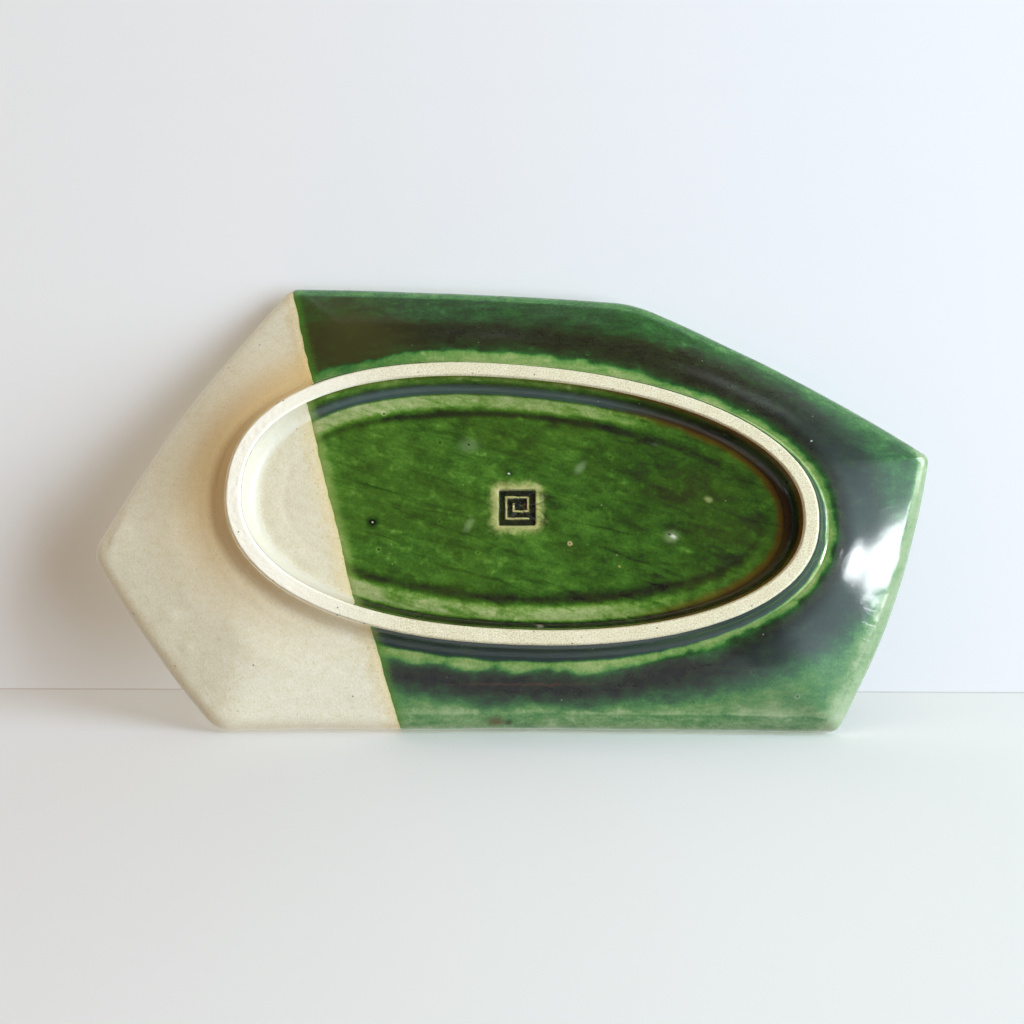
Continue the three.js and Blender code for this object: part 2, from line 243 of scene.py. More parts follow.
def foot_point(directions, inset, flare):
    half_length = FOOT_HALF_LENGTH - inset + flare * FOOT_FLARE[0]
    half_width = FOOT_HALF_WIDTH - inset + flare * FOOT_FLARE[1]
    return FOOT_CENTRE + directions * oval_reach(directions, half_length, half_width)[..., None]


def oval_gap(points, inset, flare):
    """How far points lie outside an oval of the foot, along the line from its centre."""
    offset = points - FOOT_CENTRE
    radius = np.linalg.norm(offset, axis=-1)
    edge = foot_point(offset / radius[..., None], inset, flare) - FOOT_CENTRE
    return radius - np.linalg.norm(edge, axis=-1)


def oval_distance(points, inset, flare):
    """How far points lie outside an oval of the foot, to first order."""
    here = oval_gap(points, inset, flare)
    nudged = [oval_gap(points + step, inset, flare) for step in NUDGE * np.eye(2)]
    slope = np.sqrt(sum(((gap - here) / NUDGE) ** 2 for gap in nudged))
    return here / np.maximum(slope, 0.5)


def ring_directions(rim):
    """Directions of the spokes at the foot: those of the rim points, evened out."""
    offset = rim - FOOT_CENTRE
    turns = np.unwrap(np.arctan2(offset[:, 1], offset[:, 0]))
    count = len(turns)
    trend = turns[0] + np.arange(count) * 2 * math.pi / count
    waves = np.fft.rfft(turns - trend)
    waves *= np.exp(-0.5 * (2 * math.pi * np.arange(len(waves)) * SPOKE_EVENING) ** 2)
    turns = trend + np.fft.irfft(waves, count)
    return np.stack((np.cos(turns), np.sin(turns)), 1)


def wall_rise(share):
    along = np.clip(share, 0, 1)
    risen = np.where(along < WALL_SWEEP, along ** 2 / (2 * WALL_SWEEP), along - WALL_SWEEP / 2)
    return risen / (1 - WALL_SWEEP / 2)


class Spokes:
    """Lines in plan from the foot's outer base to the rim, which wobbles and is hollow at the bottom."""

    def __init__(self, count):
        rim, normals = rim_path(count)
        self.directions = ring_directions(rim)
        self.base = foot_point(self.directions, -FOOT_RIM_WIDTH / 2, 1)
        self.outwards = unit(rim - self.base)
        self.squareness = (self.outwards * normals).sum(1)
        flat = np.c_[rim, np.zeros(count)]
        wobble = 0.22 * field(flat, 31, 5) + 0.1 * field(flat, 11, 6)
        wobble = wobble - 0.6 * smooth(-62, -67, rim[:, 1]) * smooth(84, 60, np.abs(rim[:, 0]))
        self.rim = rim + self.outwards * wobble[:, None]

    def inset(self, distance):
        return self.rim - self.outwards * (distance / self.squareness)[:, None]

    def height(self, points, low, high, edge_inset):
        top = rim_distance(self.inset(edge_inset))
        bottom = np.minimum(WALL_RUN, rim_distance(self.base))
        return low + (high - low) * wall_rise((bottom - rim_distance(points)) / (bottom - top))


def foot_wall(directions, side, count):
    """Rings of a foot wall from its bare edge to the slab, as (plan points, height)."""
    profile = bezier([(FOOT_WALL_START, GLAZE_START), *FOOT_WALL], count)
    inset = -side * FOOT_RIM_WIDTH / 2
    return [(foot_point(directions, inset, side * flare), height) for flare, height in profile]


def stack(rings):
    """Rings of (plan points, heights) as one array of places in the row frame, in mm."""
    places = [np.c_[points - MIDDLE, np.broadcast_to(height, len(points))] for points, height in rings]
    return np.array(places)


def outer_rings(spokes, foot_count, wall_count, face_count, floor_count):
    """The clay's surface outside the foot, as rings and their zones.

    The zones are 0 for the foot's wall, 1 for the underside, 2 for the cut edge and 3 for the face.
    """
    rings = foot_wall(spokes.directions, 1, foot_count)
    inner = spokes.inset(EDGE_ROLL)
    start = spokes.height(inner, FOOT_HEIGHT, EDGE_FOOT, EDGE_SLANT)
    slope = (EDGE_FOOT - start) / (EDGE_ROLL - EDGE_SLANT)
    shoulder = start + slope * (EDGE_ROLL - ROLL_INSETS[1])
    for share in np.linspace(0, 1, wall_count + 1)[1:] ** 1.15:
        points = spokes.base + (inner - spokes.base) * share
        rings.append((points, spokes.height(points, FOOT_HEIGHT, EDGE_FOOT, EDGE_SLANT)))
    zone = [0] * foot_count + [1] * wall_count
    for share in np.linspace(0, 1, 11)[1:]:
        first, second, third, fourth = weights = bezier_weights(share)
        height = first * start + second * shoulder + third * ROLL_HEIGHTS[0] + fourth * ROLL_HEIGHTS[1]
        rings.append((spokes.inset(np.dot(weights, ROLL_INSETS)), height))
    top = [(ROLL_INSETS[3], ROLL_HEIGHTS[1]), (-0.05, 19.2), (0.25, CREST), (EDGE_ROUNDING, CREST)]
    rings += [(spokes.inset(distance), height) for distance, height in bezier(top, 6)[1:]]
    zone += [2] * 15
    crown = spokes.inset(EDGE_ROUNDING)
    face = [crown + (spokes.base - crown) * share for share in np.linspace(0, 1, face_count + 1)[1:]]
    inwards = FOOT_CENTRE - spokes.base
    face += [spokes.base + inwards * share for share in np.linspace(0, 1, floor_count + 2)[1:-1]]
    rings += [(points, spokes.height(points, FACE_FLOOR, CREST, EDGE_ROUNDING)) for points in face]
    return rings, np.array(zone + [3] * len(face))


def hand_shaping(places, zone):
    """Uneven slab, a soft shoulder by the foot and a hollow beyond it, in mm along Z."""
    plan = places[..., :2] + MIDDLE
    flat = places * np.array((1, 1, 0))
    lumps = 0.16 * field(flat, 27, 11) + 0.06 * field(flat, 9, 12) + 0.03 * field(flat, 3.5, 13)
    beyond = oval_distance(plan, -FOOT_RIM_WIDTH / 2, 1)
    edge = smooth(2, 12, beyond) * (0.16 + 0.84 * smooth(-82, -62, plan[..., 0]))
    shoulder = -0.32 * bell(beyond, 2.6, 1.8) + 0.3 * bell(beyond, 9.5, 4.2)
    under = shoulder + lumps * edge
    for x, y, radius, depth in ((118, -12, 4.5, 0.5), (99, -37, 2.0, 0.2), (94, -46, 1.8, 0.2)):
        under = under - depth * bell(np.hypot(plan[..., 0] - x, plan[..., 1] - y), 0, radius)
    return np.select((zone == 0, zone == 1), (0, under), lumps * np.where(zone == 2, 0.6, 1)), beyond


# Meshes
def quads(a, b, c, d):
    """Two triangles for each four-sided face."""
    return [np.stack((a, b, c), 1), np.stack((a, c, d), 1)]


def band(here, there):
    """Triangles between two closed rings of point numbers."""
    return quads(here, np.roll(here, -1), np.roll(there, -1), there)


def grid_faces(rings, count, closed=False):
    """Triangles of a loft of rings that run counter-clockwise round an axis, facing away from it."""
    numbers = np.arange(rings * count).reshape(rings, count)
    following = np.roll(numbers, -1, 0)
    pairs = zip(numbers, following) if closed else zip(numbers[:-1], following[:-1])
    return np.concatenate([face for here, there in pairs for face in band(here, there)])


def fan(hub, ring):
    return np.stack((np.full(len(ring), hub), ring, np.roll(ring, -1)), 1)


def vertex_normals(points, faces):
    corners = points[faces]
    across = np.cross(corners[:, 1] - corners[:, 0], corners[:, 2] - corners[:, 0])
    normals = np.zeros_like(points)
    for corner in range(3):
        for axis in range(3):
            normals[:, axis] += np.bincount(faces[:, corner], across[:, axis], len(points))
    return unit(normals)


def clip(data, faces, side):
    """The part of a surface where side is positive. Cut edges get points between their ends."""
    inside = side[faces] > 0
    held = inside.sum(1)
    crossing = []
    for wanted, lone in ((1, True), (2, False)):
        some = faces[held == wanted]
        turn = np.argmax(inside[held == wanted] == lone, 1)
        turned = [np.take_along_axis(some, ((turn + k) % 3)[:, None], 1)[:, 0] for k in range(3)]
        crossing.append(np.stack(turned, 1))
    pairs = np.concatenate([some[:, pair] for some in crossing for pair in ((0, 1), (0, 2))])
    keys, where = np.unique(np.sort(pairs, 1), axis=0, return_inverse=True)
    where = where.ravel() + len(data)
    first, second = side[keys[:, 0]], side[keys[:, 1]]
    share = (first / (first - second))[:, None]
    added = data[keys[:, 0]] * (1 - share) + data[keys[:, 1]] * share
    one, two = crossing
    one_near, one_far, two_near, two_far = np.split(where, np.cumsum((len(one), len(one), len(two))))
    kept = [faces[held == 3], np.stack((one[:, 0], one_near, one_far), 1)]
    kept += quads(two_near, two[:, 1], two[:, 2], two_far)
    kept = np.concatenate(kept)
    used, flat = np.unique(kept, return_inverse=True)
    return np.concatenate((data, added))[used], flat.reshape(kept.shape)


def open_edges(faces):
    edges = np.concatenate((faces[:, (0, 1)], faces[:, (1, 2)], faces[:, (2, 0)]))
    _, where, count = np.unique(np.sort(edges, 1), axis=0, return_inverse=True, return_counts=True)
    return edges[count[where.ravel()] == 1]


def make_mesh(name, points, faces, values, material):
    mesh = bpy.data.meshes.new(name)
    mesh.vertices.add(len(points))
    mesh.vertices.foreach_set("co", (points * MM).astype(np.float32).ravel())
    mesh.loops.add(faces.size)
    mesh.loops.foreach_set("vertex_index", faces.astype(np.int32).ravel())
    mesh.polygons.add(len(faces))
    mesh.polygons.foreach_set("loop_start", np.arange(0, faces.size, 3, dtype=np.int32))
    mesh.polygons.foreach_set("use_smooth", np.ones(len(faces), bool))
    mesh.update(calc_edges=True)
    mesh.validate()
    for key, column in values.items():
        mesh.attributes.new(key, "FLOAT", "POINT").data.foreach_set("value", column.astype(np.float32))
    mesh.set_sharp_from_angle(angle=math.radians(55))
    mesh.materials.append(material)
    piece = bpy.data.objects.new(name, mesh)
    bpy.context.scene.collection.objects.link(piece)
    return piece


def settle(piece, node):
    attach(piece, "root")
    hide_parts(node)


def coat(name, data, faces, keys, material):
    """A closed coat of glaze: a skin out along the normals, the clay under it, and a strip round its edge."""
    clay, normals, thickness = data[:, :3], data[:, 3:6], data[:, 6:7]
    points = np.concatenate((clay + unit(normals) * thickness, clay))
    count = len(data)
    start, end = open_edges(faces).T
    strip = quads(end, start, start + count, end + count)
    skin = np.concatenate([faces, faces[:, ::-1] + count, *strip])
    values = {key: np.tile(data[:, 7 + column], 2) for column, key in enumerate(keys)}
    return make_mesh(name, points, skin, values, material)


def glaze(where, surface, faces, values, green, clear):
    """The two dips over a surface, which meet and thin out where dip is 0.

    The surface holds points, normals and the green coat's thickness. The values start with pool and dip, and
    go into the mesh for the shaders.
    """
    data = np.column_stack((*surface, *values.values()))
    for dipped, side, share, material in (("clear", 1, CLEAR_COAT_SHARE, clear), ("green", -1, 1.0, green)):
        part, kept = clip(data, faces, side * values["dip"])
        part[:, 6] *= share * (0.55 + 0.45 * smooth(0, 0.9, np.abs(part[:, 8])))
        piece = coat(f"{dipped}_coat_{where}", part, kept, tuple(values), material)
        settle(piece, f"{dipped}_glaze_{where}")


def dip_side(points, step):
    """Distance from the edge between the dips, positive on the clear side, with the wander of a hand dip."""
    place = points[:, :2] + MIDDLE
    straight = (place[:, 0] - DIP_X - step - DIP_LEAN * place[:, 1]) / math.hypot(1, DIP_LEAN)
    flat = points * np.array((1, 1, 0.6))
    return straight + 0.35 * field(flat, 12, 21) + 0.2 * field(flat, 3.2, 22) + 0.17 * field(flat, 1.4, 23)


# Glaze outside the foot
POOL_STEPS = (-3.2, -1.0, -0.2, 0.5, 1.6, 4.2, 7.5)  # mm past the pale band by the foot
POOL_BY_FOOT = (0.27, 0.31, 0.4, 0.68, 0.8, 0.9, 0.95)


def outer_pool(points, plan, zone, beyond, dip, ragged, sides):
    """How deeply the glaze has pooled, from 0, broken over an edge, to 1, with paler strips of painted
    reflection at some edges. Also the dark foot wall's share.
    """
    top, bottom, end, near_dip = sides
    height = points[:, 2]
    from_rim = rim_distance(plan)

    # By the foot: dark wall, pale band, bright edge, then the pool
    pale_end = 3.1 + 0.6 * bottom - 1.7 * end - 1.2 * near_dip * top + (0.6 + 0.35 * bottom) * ragged
    pale_start = -2.5 + 3.7 * bottom * (1 - 0.6 * end) + 1.2 * end
    past_pale = beyond - pale_end
    under = np.interp(past_pale, POOL_STEPS, POOL_BY_FOOT)
    before = smooth(pale_start + 0.5, pale_start - 0.6, beyond + 0.25 * ragged)
    before = before * (1 - 0.7 * near_dip * top)
    under = under * (1 - before) + 0.95 * before
    under = under + 0.2 * near_dip * top * smooth(5, 3, beyond)
    under = under + 0.09 * np.maximum(bottom, end) * bell(past_pale, 4.0, 2.6)

    # Out over the wall to the rim, where the glaze thins again, with painted reflection along some edges
    reach = 10.5 + 6.5 * top * near_dip - 3.4 * bottom + 1.0 * end + 1.2 * ragged
    outwards = smooth(reach, reach + 7 + 1.5 * bottom + 5 * end, beyond)
    # Lighter towards the rim on the lower side, partly painted sheen of the table.
    under = under * (1 - outwards) + (0.72 + 0.05 * top * near_dip - 0.26 * bottom - 0.08 * end) * outwards
    under = under - 0.09 * smooth(7, 0.8, from_rim)
    upper, side, low = (edge_distance(plan, index) for index in (2, 3, 4))
    # Painted reflection of the window glow: paler strips along the right, lower and upper right edges, less
    # by corner E.
    lit = smooth(5.5, 0.5, side + 1.4 * ragged) + 0.7 * smooth(8.5, 0.5, low + 1.4 * ragged)
    lit = lit + 0.45 * smooth(11, 4, side + 2 * ragged) * smooth(30, 5, plan[:, 1] + 40)
    lit = lit + 0.3 * smooth(3, 0.5, upper + ragged)
    lit = lit * (1 - 0.6 * bell(np.hypot(plan[:, 0] + 90, plan[:, 1] + 68), 0, 11))
    under = under - 0.3 * lit.clip(0, 1)

    # Cut edge and face; the arris on the right side and the cut edge on the right and lower sides are paler,
    # painted highlight
    arris_highlight = bell(height, EDGE_FOOT + 0.2, 0.9) * ((zone == 1) | (zone == 2)) * smooth(8, 2, side)
    arris_highlight = arris_highlight * (0.6 + 0.4 * field(points, 5, 34))
    edge = 0.54 - 0.1 * smooth(EDGE_FOOT, CREST, height) - 0.12 * bell(height, CREST, 0.5)
    edge = edge - 0.24 * smooth(8, 2, side) - 0.12 * smooth(8, 2, low)
    face = 0.64 - 0.2 * smooth(FACE_FLOOR + 0.5, CREST, height) - 0.3 * smooth(CREST - 0.9, CREST, height)
    face = face + 0.1 * bell(height, FACE_FLOOR + 0.2, 0.5) + 0.05 * field(points, 20, 35)
    pool = np.select((zone <= 1, zone == 2), (under, edge), face) - 0.12 * arris_highlight
    return 0.46 + (pool - 0.46) * (0.4 + 0.6 * smooth(0, 2.5, np.abs(dip))), before


def outer_fields(points, zone, beyond, dip):
    """The glaze's thickness, how pooled and iron-stained it is, the warm shade painted by the foot, and where
    grey-blue sheen is painted.
    """
    plan = points[:, :2] + MIDDLE
    offset = plan - FOOT_CENTRE
    turn = np.arctan2(offset[:, 1], offset[:, 0])
    top = smooth(0.1, 0.8, np.sin(turn))
    bottom = smooth(0.1, 0.8, -np.sin(turn))
    end = smooth(0.35, 0.95, -np.cos(turn))
    near_dip = smooth(44, 12, np.abs(dip))
    ragged = 0.7 * field(points, 7, 31) + 0.7 * field(points, 2.8, 32) + 0.5 * field(points, 1.6, 33)
    sides = top, bottom, end, near_dip
    pool, before = outer_pool(points, plan, zone, beyond, dip, ragged, sides)

    iron_and_warm_shade = top * smooth(0.62, 0.85, pool) * (zone <= 1) * (0.2 + 0.8 * near_dip)
    # Painted warm shade where the foot's shadow falls on the clear glaze, mostly on the upper side; part of
    # the tan is amber glaze pooled by the foot.
    shaded = 0.8 * smooth(16, 2, beyond) + 0.4 * smooth(27, 9, beyond)
    shaded = shaded * smooth(-0.8, 0.25, np.sin(turn)) * (zone <= 1)
    thickness = GLAZE_THICKNESS * np.interp(pool, (0, 0.3, 0.6, 1), (0.6, 0.85, 1.05, 1.2))
    taper = smooth(BARE_FOOT_HEIGHT - 0.3, BARE_FOOT_HEIGHT + 1.2, points[:, 2])
    thickness = thickness * (0.25 + 0.75 * np.where(zone == 0, taper, 1)) + 0.01 * field(points, 4, 41)
    # Painted sheen: grey-blue reflection of the window glow on the right, of the table on the lower side, and
    # on the dark foot wall at the bottom and the end.
    painted_sheen_and_shade = smooth(-45, -95, plan[:, 0]) * smooth(0.6, -0.1, np.sin(turn)) * smooth(3, 9, beyond)
    painted_sheen_and_shade = painted_sheen_and_shade + 0.5 * bottom * smooth(8, 15, beyond) + 0.9 * before * (bottom + end)
    return thickness, {
        "pool": pool,
        "dip": dip,
        "rim": rim_distance(plan),
        "under": zone <= 2,
        "iron_and_warm_shade": np.where(dip > 0, shaded, iron_and_warm_shade),
        "painted_sheen_and_shade": painted_sheen_and_shade.clip(0, 1) * (zone <= 2),
    }


def build_outer(green, clear):
    rings, zone = outer_rings(Spokes(OUTER_SPOKES), 12, 50, 20, 14)
    places = stack(rings)
    zone = np.repeat(zone[:, None], OUTER_SPOKES, 1)
    shift, beyond = hand_shaping(places, zone)
    places[..., 2] += shift
    points = places.reshape(-1, 3)
    hub = len(points)
    middle = np.array([[*(FOOT_CENTRE - MIDDLE), points[-OUTER_SPOKES:, 2].mean()]])
    points = np.concatenate((points, middle))
    zone = np.append(zone.ravel(), 3)
    beyond = np.append(beyond.ravel(), -50)
    cap = fan(hub, np.arange(hub - OUTER_SPOKES, hub))
    faces = np.concatenate((grid_faces(len(places), OUTER_SPOKES), cap))
    normals = vertex_normals(points, faces)
    thickness, values = outer_fields(points, zone, beyond, dip_side(points, 0))
    glaze("outer", (points, normals, thickness), faces, values, green, clear)


# Inside the foot
def fret_distance(points):
    """Distance from the raised strokes of the seal's fret."""
    place = (points - SEAL_CENTRE) / FRET_PITCH
    nearest = np.full(len(points), 99.0)
    for start, end in zip(FRET_TURNS[:-1], FRET_TURNS[1:]):
        low, high = np.minimum(start, end), np.maximum(start, end)
        gap = np.maximum(np.maximum(low - place, place - high), 0)
        nearest = np.minimum(nearest, np.abs(gap).max(1))
    return nearest * FRET_PITCH - FRET_STROKE / 2


def square_distance(points):
    """Distance outside the seal's square, whose corners are slightly rounded."""
    rounding = 0.6
    offset = np.abs(points - SEAL_CENTRE) - (SEAL_SIDE / 2 - rounding)
    return np.linalg.norm(np.maximum(offset, 0), axis=1) + np.minimum(offset.max(1), 0) - rounding


def patch_border(steps):
    """Points round the square patch, counter-clockwise from the middle of its +X side."""
    share = np.arange(4 * steps) / steps - 0.5
    turn = np.floor(share + 0.5).astype(int) % 4
    along = (share + 0.5) % 1 * 2 - 1
    cosine, sine = np.array((1, 0, -1, 0))[turn], np.array((0, 1, 0, -1))[turn]
    return SEAL_CENTRE + PATCH_HALF * np.stack((cosine - sine * along, sine + cosine * along), 1)


def foot_directions_for(border):
    """Spreads the border's points round the foot oval, part by angle and part evenly."""
    fine = np.linspace(0, 2 * math.pi, 2881)
    ring = foot_point(np.stack((np.cos(fine), np.sin(fine)), 1), FOOT_RIM_WIDTH / 2, -1)
    travelled = np.concatenate(([0], np.cumsum(np.linalg.norm(np.diff(ring, axis=0), axis=1))))
    travelled /= travelled[-1]
    angles = np.concatenate((fine - 2 * math.pi, fine[1:]))
    travels = np.concatenate((travelled - 1, travelled[1:]))
    offset = border - FOOT_CENTRE
    by_angle = np.interp(np.unwrap(np.arctan2(offset[:, 1], offset[:, 0])), angles, travels)
    evenly = by_angle[0] + np.arange(len(border)) / len(border)
    turned = np.interp(0.45 * by_angle + 0.55 * evenly, travels, angles)
    return np.stack((np.cos(turned), np.sin(turned)), 1)


def field_relief(points, inset):
    """Turned ridge and groove inside the foot, and lumps, in mm of height. inset is from the wall's base."""
    place = np.c_[points, np.zeros(len(points))]
    drift = 0.3 * field(place, 40, 51)
    faint = 0.25 + 0.75 * smooth(DIP_X + 4, DIP_X - 6, points[:, 0] - DIP_LEAN * points[:, 1])
    faint = faint * (0.12 + 0.88 * smooth(-74, -52, points[:, 0]))
    ridge = -0.34 * bell(inset, 3.2 + drift, 2.0)
    groove = 0.3 * bell(inset, 7.0 + drift, 1.15)
    streaks = np.c_[points[:, 0] * 0.5 - points[:, 1] * 0.2, points[:, 1], np.zeros(len(points))]
    lumps = 0.05 * field(place, 16, 52) + 0.03 * field(streaks, 4.5, 53) + 0.012 * field(place, 1.6, 54)
    calm = smooth(0.5, 3, inset) * smooth(-0.2, 2.5, square_distance(points))
    return (ridge + groove) * faint + lumps * calm


def in_foot_rings(border, near, fine, wall):
    """Rings from the patch round the seal to the foot's inner wall and up it, and how many lie flat."""
    directions = foot_directions_for(border)
    start = foot_point(directions, FOOT_RIM_WIDTH / 2 + FLOOR_BAND, -1)
    rings = [(border + (start - border) * share, FOOT_HEIGHT) for share in np.linspace(0, 1, near + 1)[1:]]
    for inset in np.linspace(FLOOR_BAND, 0, fine + 1)[1:]:
        rings.append((foot_point(directions, FOOT_RIM_WIDTH / 2 + inset, -1), FOOT_HEIGHT))
    return rings + foot_wall(directions, -1, wall)[::-1][1:], len(rings)


def in_foot_surface(steps, near, fine, wall):
    """The clay's surface inside the foot: a square patch with the seal, joined to rings round it."""
    border = patch_border(steps)
    rings, floor_rings = in_foot_rings(border, near, fine, wall)
    line = np.linspace(-PATCH_HALF, PATCH_HALF, steps + 1)
    grid_x, grid_y = np.meshgrid(line, line, indexing="ij")
    patch = SEAL_CENTRE + np.stack((grid_x.ravel(), grid_y.ravel()), 1)
    index = np.arange((steps + 1) ** 2).reshape(steps + 1, steps + 1)
    corners = index[:-1, :-1], index[1:, :-1], index[1:, 1:], index[:-1, 1:]
    a, b, c, d = (corner.ravel() for corner in corners)
    faces = [np.stack((a, c, b), 1), np.stack((a, d, c), 1)]
    cell = np.rint((border - SEAL_CENTRE + PATCH_HALF) / (2 * PATCH_HALF) * steps).astype(int)
    here = index[cell[:, 0], cell[:, 1]]
    count = len(border)
    for ring in range(len(rings)):
        there = len(patch) + ring * count + np.arange(count)
        faces += band(here, there)
        here = there
    plan = np.concatenate([patch] + [points for points, _ in rings])
    height = np.repeat([FOOT_HEIGHT] + [height for _, height in rings], [len(patch)] + [count] * len(rings))
    on_wall = np.arange(len(plan)) >= len(patch) + floor_rings * count
    return plan, height, on_wall, np.concatenate(faces)


def in_foot_fields(plan, height, on_wall, inset, dip):
    """The thickness of the glaze inside the foot, how pooled, iron-stained and rubbed it is, and where sheen
    and shade are painted.
    """
    place = np.c_[plan, height]
    offset = plan - FOOT_CENTRE
    turn = np.arctan2(offset[:, 1], offset[:, 0])
    top = smooth(0.0, 0.75, np.sin(turn))
    bottom = smooth(0.0, 0.75, -np.sin(turn))
    end = smooth(0.6, 1.0, -np.cos(turn))
    ragged = field(place, 6, 61) + 0.6 * field(place, 2.2, 62)

    # Floor: even field, pale ridge, dark groove and root of the wall
    pool = 0.63 - 0.06 * smooth(5, 50, plan[:, 0]) + 0.12 * smooth(-10, -50, plan[:, 0])
    pool = pool + 0.03 * field(place, 18, 63)
    pale = np.interp(inset + 0.3 * ragged - 0.5 * top, (0.3, 1.2, 4.0, 5.6), (0, 1, 0.95, 0))
    sides = np.maximum(smooth(0, 0.6, np.sin(turn)), smooth(0, 0.4, -np.sin(turn)))
    pale = pale * (0.35 + 0.65 * sides) * (1 - 0.45 * end)
    groove = bell(inset, 6.9 + 0.2 * ragged, 1.0 + 0.4 * bottom)
    root = smooth(0.9 + 0.8 * top, -0.3 + 0.8 * top, inset)
    fading = smooth(-62, -10, plan[:, 0])
    depth = (0.1 + 0.24 * fading) * top + 0.22 * smooth(0, 0.45, -np.sin(turn)) + 0.02
    pool = pool - 0.33 * pale + depth * groove
    pool = pool * (1 - root) + 0.95 * root

    # Wall and the iron at its rim and base
    wall = np.interp(height, (0.8, 1.2, 2.2, 3.8, 6.2), (0.7, 0.62, 0.66, 0.85, 0.95))
    wall = wall * (1 - end) + np.interp(height, (0.8, 2.0, 3.0, 6.2), (0.75, 0.8, 0.98, 1.0)) * end
    pool = np.where(on_wall, wall, pool)
    rim_iron = bell(height, 0.7, 0.6 + 0.4 * end) * (0.35 + 0.65 * smooth(0.15, 0.75, -np.cos(turn)))
    base_iron = 0.75 * end * smooth(-0.2, 0.6, inset) * smooth(3.0, 1.2, inset + 0.4 * ragged)
    iron_and_warm_shade = np.where(on_wall, rim_iron + 0.35 * end * smooth(4.6, 6.2, height), base_iron)

    # Seal: dark ground, rubbed strokes and a pale halo
    square = square_distance(plan)
    blur = 0.9 * field(place, 1.7, 64) + 0.5 * field(place, 0.7, 66)
    halo = smooth(3.9, -0.6, square + 0.9 * blur) * (square > 0.15)
    pit = smooth(0.25, -0.1, square)
    stroke = smooth(-0.08, -0.32, fret_distance(plan) + 0.1 * blur) * pit
    pool = pool * (1 - 0.66 * halo) * (1 - pit) + pit * (0.97 - 0.7 * stroke + 0.06 * blur)
    stroke = stroke + 0.75 * halo * (1 - pit)

    # Painted reflection: a grey-blue band where the inner wall meets the floor, on the top side.
    painted_sheen_and_shade = top * np.where(on_wall, smooth(3.4, 5.2, height), smooth(1.6, 0.6, inset)) * (1 - end)
    pool = pool - 0.2 * top * (1 - end) * on_wall * smooth(4.4, 3.0, height)
    beside = smooth(0, 3.5, np.abs(dip))
    pool = np.where(square > 3, pool - 0.2 * (1 - beside) * (1 - on_wall) * (1 - 0.9 * groove), pool)
    thickness = GLAZE_THICKNESS * np.interp(np.clip(pool, 0, 1), (0, 0.3, 0.6, 1), (0.8, 0.9, 1.0, 1.12))
    in_seal = GLAZE_THICKNESS * (0.9 + 0.4 * pit * (1 - stroke.clip(0, 1)))
    thickness = np.where(square < 1.5, in_seal, thickness)
    taper = np.where(on_wall, smooth(BARE_FOOT_HEIGHT - 0.3, BARE_FOOT_HEIGHT + 1.2, height), 1)
    thickness = thickness * (0.25 + 0.75 * taper) + 0.012 * field(place, 4, 65)
    # On the clear side the whole inner wall takes this value: painted shade that greys the brightly lit wall.
    painted_sheen_and_shade = np.where(dip > 0, on_wall * 1.0, painted_sheen_and_shade)
    return thickness, {"pool": pool, "dip": dip, "iron_and_warm_shade": iron_and_warm_shade, "stroke": stroke, "painted_sheen_and_shade": painted_sheen_and_shade}


def build_in_foot(green, clear):
    plan, height, on_wall, faces = in_foot_surface(PATCH_STEPS, 34, 34, 14)
    inset = -oval_distance(plan, FOOT_RIM_WIDTH / 2, -1)
    square = square_distance(plan)
    raised = smooth(0.04, -0.3, fret_distance(plan))
    pressed = smooth(0.45, -0.1, square) * (SEAL_DEPTH - STROKE_RISE * raised) - 0.05 * bell(square, 0.8, 0.9)
    height = height + np.where(on_wall, 0, field_relief(plan, inset) + pressed)
    points = np.c_[plan - MIDDLE, height]
    normals = vertex_normals(points, faces)
    upright = smooth(0.9, 0.2, square)[:, None]  # in the seal, so that its strokes keep their width
    normals = unit(normals * (1 - upright) + np.array((0, 0, -1)) * upright)
    dip = dip_side(points, DIP_STEP_IN_FOOT)
    thickness, values = in_foot_fields(plan, height, on_wall, inset, dip)
    glaze("in_foot", (points, normals, thickness), faces, values, green, clear)


# Clay
def build_slab(clay):
    """The slab: its surface inside the foot, under the foot ring, and outside it, as one closed skin."""
    plan, height, on_wall, faces = in_foot_surface(SLAB_STEPS, 16, 18, 2)
    faces = faces[~on_wall[faces].any(1)]
    plan, height = plan[~on_wall], height[~on_wall]
    inset = -oval_distance(plan, FOOT_RIM_WIDTH / 2, -1)
    pit = smooth(0.7, 0.3, square_distance(plan))
    height = height + field_relief(plan, inset) + pit * 1.25
    inner = np.c_[plan - MIDDLE, height + 0.02]
    count = 4 * SLAB_STEPS
    last_ring = np.arange(len(inner) - count, len(inner))
    spokes = Spokes(count)
    offset = plan[last_ring] - FOOT_CENTRE
    turns = np.arctan2(offset[:, 1], offset[:, 0])
    start = int(np.argmin(np.abs(turns - np.arctan2(*spokes.directions[0][::-1]))))
    last_ring = np.roll(last_ring, -start)
    rings, zone = outer_rings(spokes, 3, 25, 12, 10)
    places = stack(rings[2:])
    shift, _ = hand_shaping(places, np.repeat(zone[2:, None], count, 1))
    places[..., 2] += shift
    outer = places.reshape(-1, 3)
    middle = np.array([[*(FOOT_CENTRE - MIDDLE), outer[-count:, 2].mean()]])
    points = np.concatenate((inner, outer, middle))
    hub = len(points) - 1
    bridge = band(last_ring, len(inner) + np.arange(count))
    skin = grid_faces(len(places), count) + len(inner)
    faces = np.concatenate([faces, *bridge, skin, fan(hub, np.arange(hub - count, hub))])
    settle(make_mesh("slab", points, faces, {}, clay), "plate_body")


